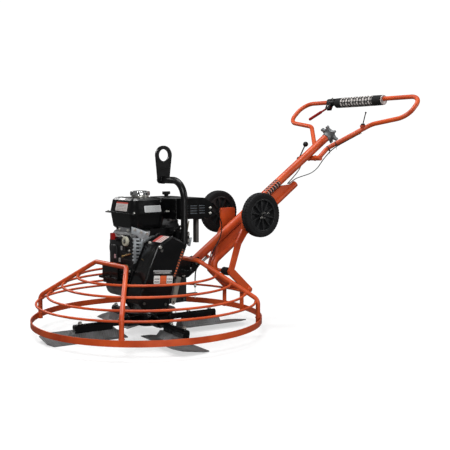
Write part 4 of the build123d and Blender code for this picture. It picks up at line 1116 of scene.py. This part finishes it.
def bracket_bolts():
    """Through bolts of the handle bracket and the gearbox."""
    sides = [((0, s, 0), 10, 5, [(168, s * 27, 232), (246, s * 27, 290)]) for s in (-1, 1)]
    angles = [math.radians(45 * k + 22) for k in range(8)]
    flange = [(94 * math.cos(a), 94 * math.sin(a), 168) for a in angles]
    bolt_heads("bracket_bolts", *sides, (DOWN, 8, 4, flange))


def arm_nuts():
    """Lock nuts and grease nipples on the four trowel arms."""
    for k in range(4):
        turn = Matrix.Rotation(math.radians(-6 + 90 * k), 4, "Z")
        nuts = Solid(f"arm_nuts_{k + 1}", "zinc", f"arm_{k + 1}")
        for x in (200, 306):
            nuts.hexagon(turn @ mm(x, 2.4, 72.9), turn.to_3x3() @ Vector((0, 0.156, 0.988)), 13, 6)
        nipple = [(0.5, 0), (2.4, 0.2), (2.6, 3), (1.6, 4.2), (2.0, 6), (0.4, 7)]
        nuts.lathe(nipple, turn @ mm(136, 0, 70.2), UP, 14)
        nuts.done()


grip()
cables()
zebra_decal()
handle_welds()
levers()
tyres()
axle_ends()
cage_welds()
belt_guard_details()
deck_strut()
tank_details()
shade_panel()
light_castings()
crankcase_details()
head_details()
muffler_details()
lifting_details()
air_cleaner_details()
bracket_bolts()
arm_nuts()


# ---- stage -----------------------------------------------------------------------------------
FLOOR_GLOW = 0.55
LIGHTS = (
    ("key", (-2.4, -2.2, 3.0), (0.2, 0, 0.3), (0.9, 0.9), 105),
    ("fill", (3.4, -3.0, 1.9), (0.4, 0, 0.4), (0.9, 1.6), 50),
    ("top", (0.5, 0.5, 3.4), (0.3, 0, 0.3), (2.2, 0.8), 85),
    ("low", (-0.9, -2.5, 0.35), (0.0, -0.4, 0.05), (1.3, 0.4), 20),
    ("back", (-0.6, 3.2, 2.2), (0.3, 0, 0.4), (1.6, 0.8), 45),
)
CAMERA_AT = (-1.861, -2.841, 0.740)
CAMERA_DOWN = math.radians(4.79)
CAMERA_BEARING = (0.626, 0.780)
CAMERA_LENS = 64.86


def white_glow(name, strength=1.05):
    """Shader, its white emission and the socket of its output."""
    s = Shader(name)
    glow = s.make("ShaderNodeEmission")
    glow.inputs["Color"].default_value = (1, 1, 1, 1)
    glow.inputs["Strength"].default_value = strength
    out = next(n for n in s.tree.nodes if n.type == "OUTPUT_MATERIAL")
    return s, glow.outputs[0], out.inputs["Surface"]


def on_stage(name, shell, material, height=0.0, shadow=True):
    """Stage piece that the camera sees and that lights nothing."""
    mesh = bpy.data.meshes.new(name)
    shell.to_mesh(mesh)
    shell.free()
    mesh.materials.append(material)
    obj = into_scene(bpy.data.objects.new(name, mesh))
    obj.location.z = height
    obj.visible_diffuse = False
    obj.visible_glossy = False
    obj.visible_shadow = shadow


def floor():
    """Pale floor that runs out into the white backdrop."""
    disc = bmesh.new()
    bmesh.ops.create_circle(disc, cap_ends=True, radius=30, segments=96)
    s, glow, out = white_glow("floor_pale")
    s.bsdf.inputs["Roughness"].default_value = 0.8
    length = s.make("ShaderNodeVectorMath", operation="LENGTH")
    s.tree.links.new(s.place, length.inputs[0])
    far = s.span(length.outputs["Value"], 0.3, 2.2, FLOOR_GLOW, 1.0)
    s.link(s.mix(s.noise(30, 3), (0.86, 0.86, 0.86), (0.90, 0.90, 0.90)), s.bsdf.inputs["Base Color"])
    blend = s.make("ShaderNodeMixShader")
    for value, socket in zip((far, s.bsdf.outputs[0], glow), blend.inputs):
        s.tree.links.new(value, socket)
    s.tree.links.new(blend.outputs[0], out)
    on_stage("floor", disc, s.mat, height=-0.0005)


def backdrop():
    """White shell behind everything; it lights nothing."""
    shell = bmesh.new()
    bmesh.ops.create_uvsphere(shell, u_segments=48, v_segments=24, radius=28)
    s, glow, out = white_glow("backdrop_white")
    s.tree.links.new(glow, out)
    on_stage("backdrop", shell, s.mat, shadow=False)


def softbox(name, place, target, size, power):
    data = bpy.data.lights.new(name, "AREA")
    data.shape = "RECTANGLE"
    data.size, data.size_y = size
    data.energy = power
    obj = into_scene(bpy.data.objects.new(name, data))
    obj.location = place
    obj.rotation_euler = (Vector(target) - Vector(place)).to_track_quat("-Z", "Y").to_euler()
    obj.visible_camera = False


def studio():
    """Dim surroundings with a few softboxes: dark paint stays dark and tubes catch thin highlights."""
    scene = bpy.context.scene
    world = bpy.data.worlds.new("studio")
    scene.world = world
    world.use_nodes = True
    background = world.node_tree.nodes["Background"]
    background.inputs["Color"].default_value = (1, 1, 1, 1)
    background.inputs["Strength"].default_value = 0.16
    for light in LIGHTS:
        softbox(*light)
    scene.view_settings.view_transform = "Standard"


def camera():
    data = bpy.data.cameras.new("camera")
    data.lens = CAMERA_LENS
    data.sensor_width = 36
    obj = into_scene(bpy.data.objects.new("camera", data))
    obj.location = CAMERA_AT
    level = math.cos(CAMERA_DOWN)
    aim = Vector((CAMERA_BEARING[0] * level, CAMERA_BEARING[1] * level, -math.sin(CAMERA_DOWN)))
    obj.rotation_euler = aim.to_track_quat("-Z", "Y").to_euler()
    bpy.context.scene.camera = obj


floor()
backdrop()
studio()
camera()
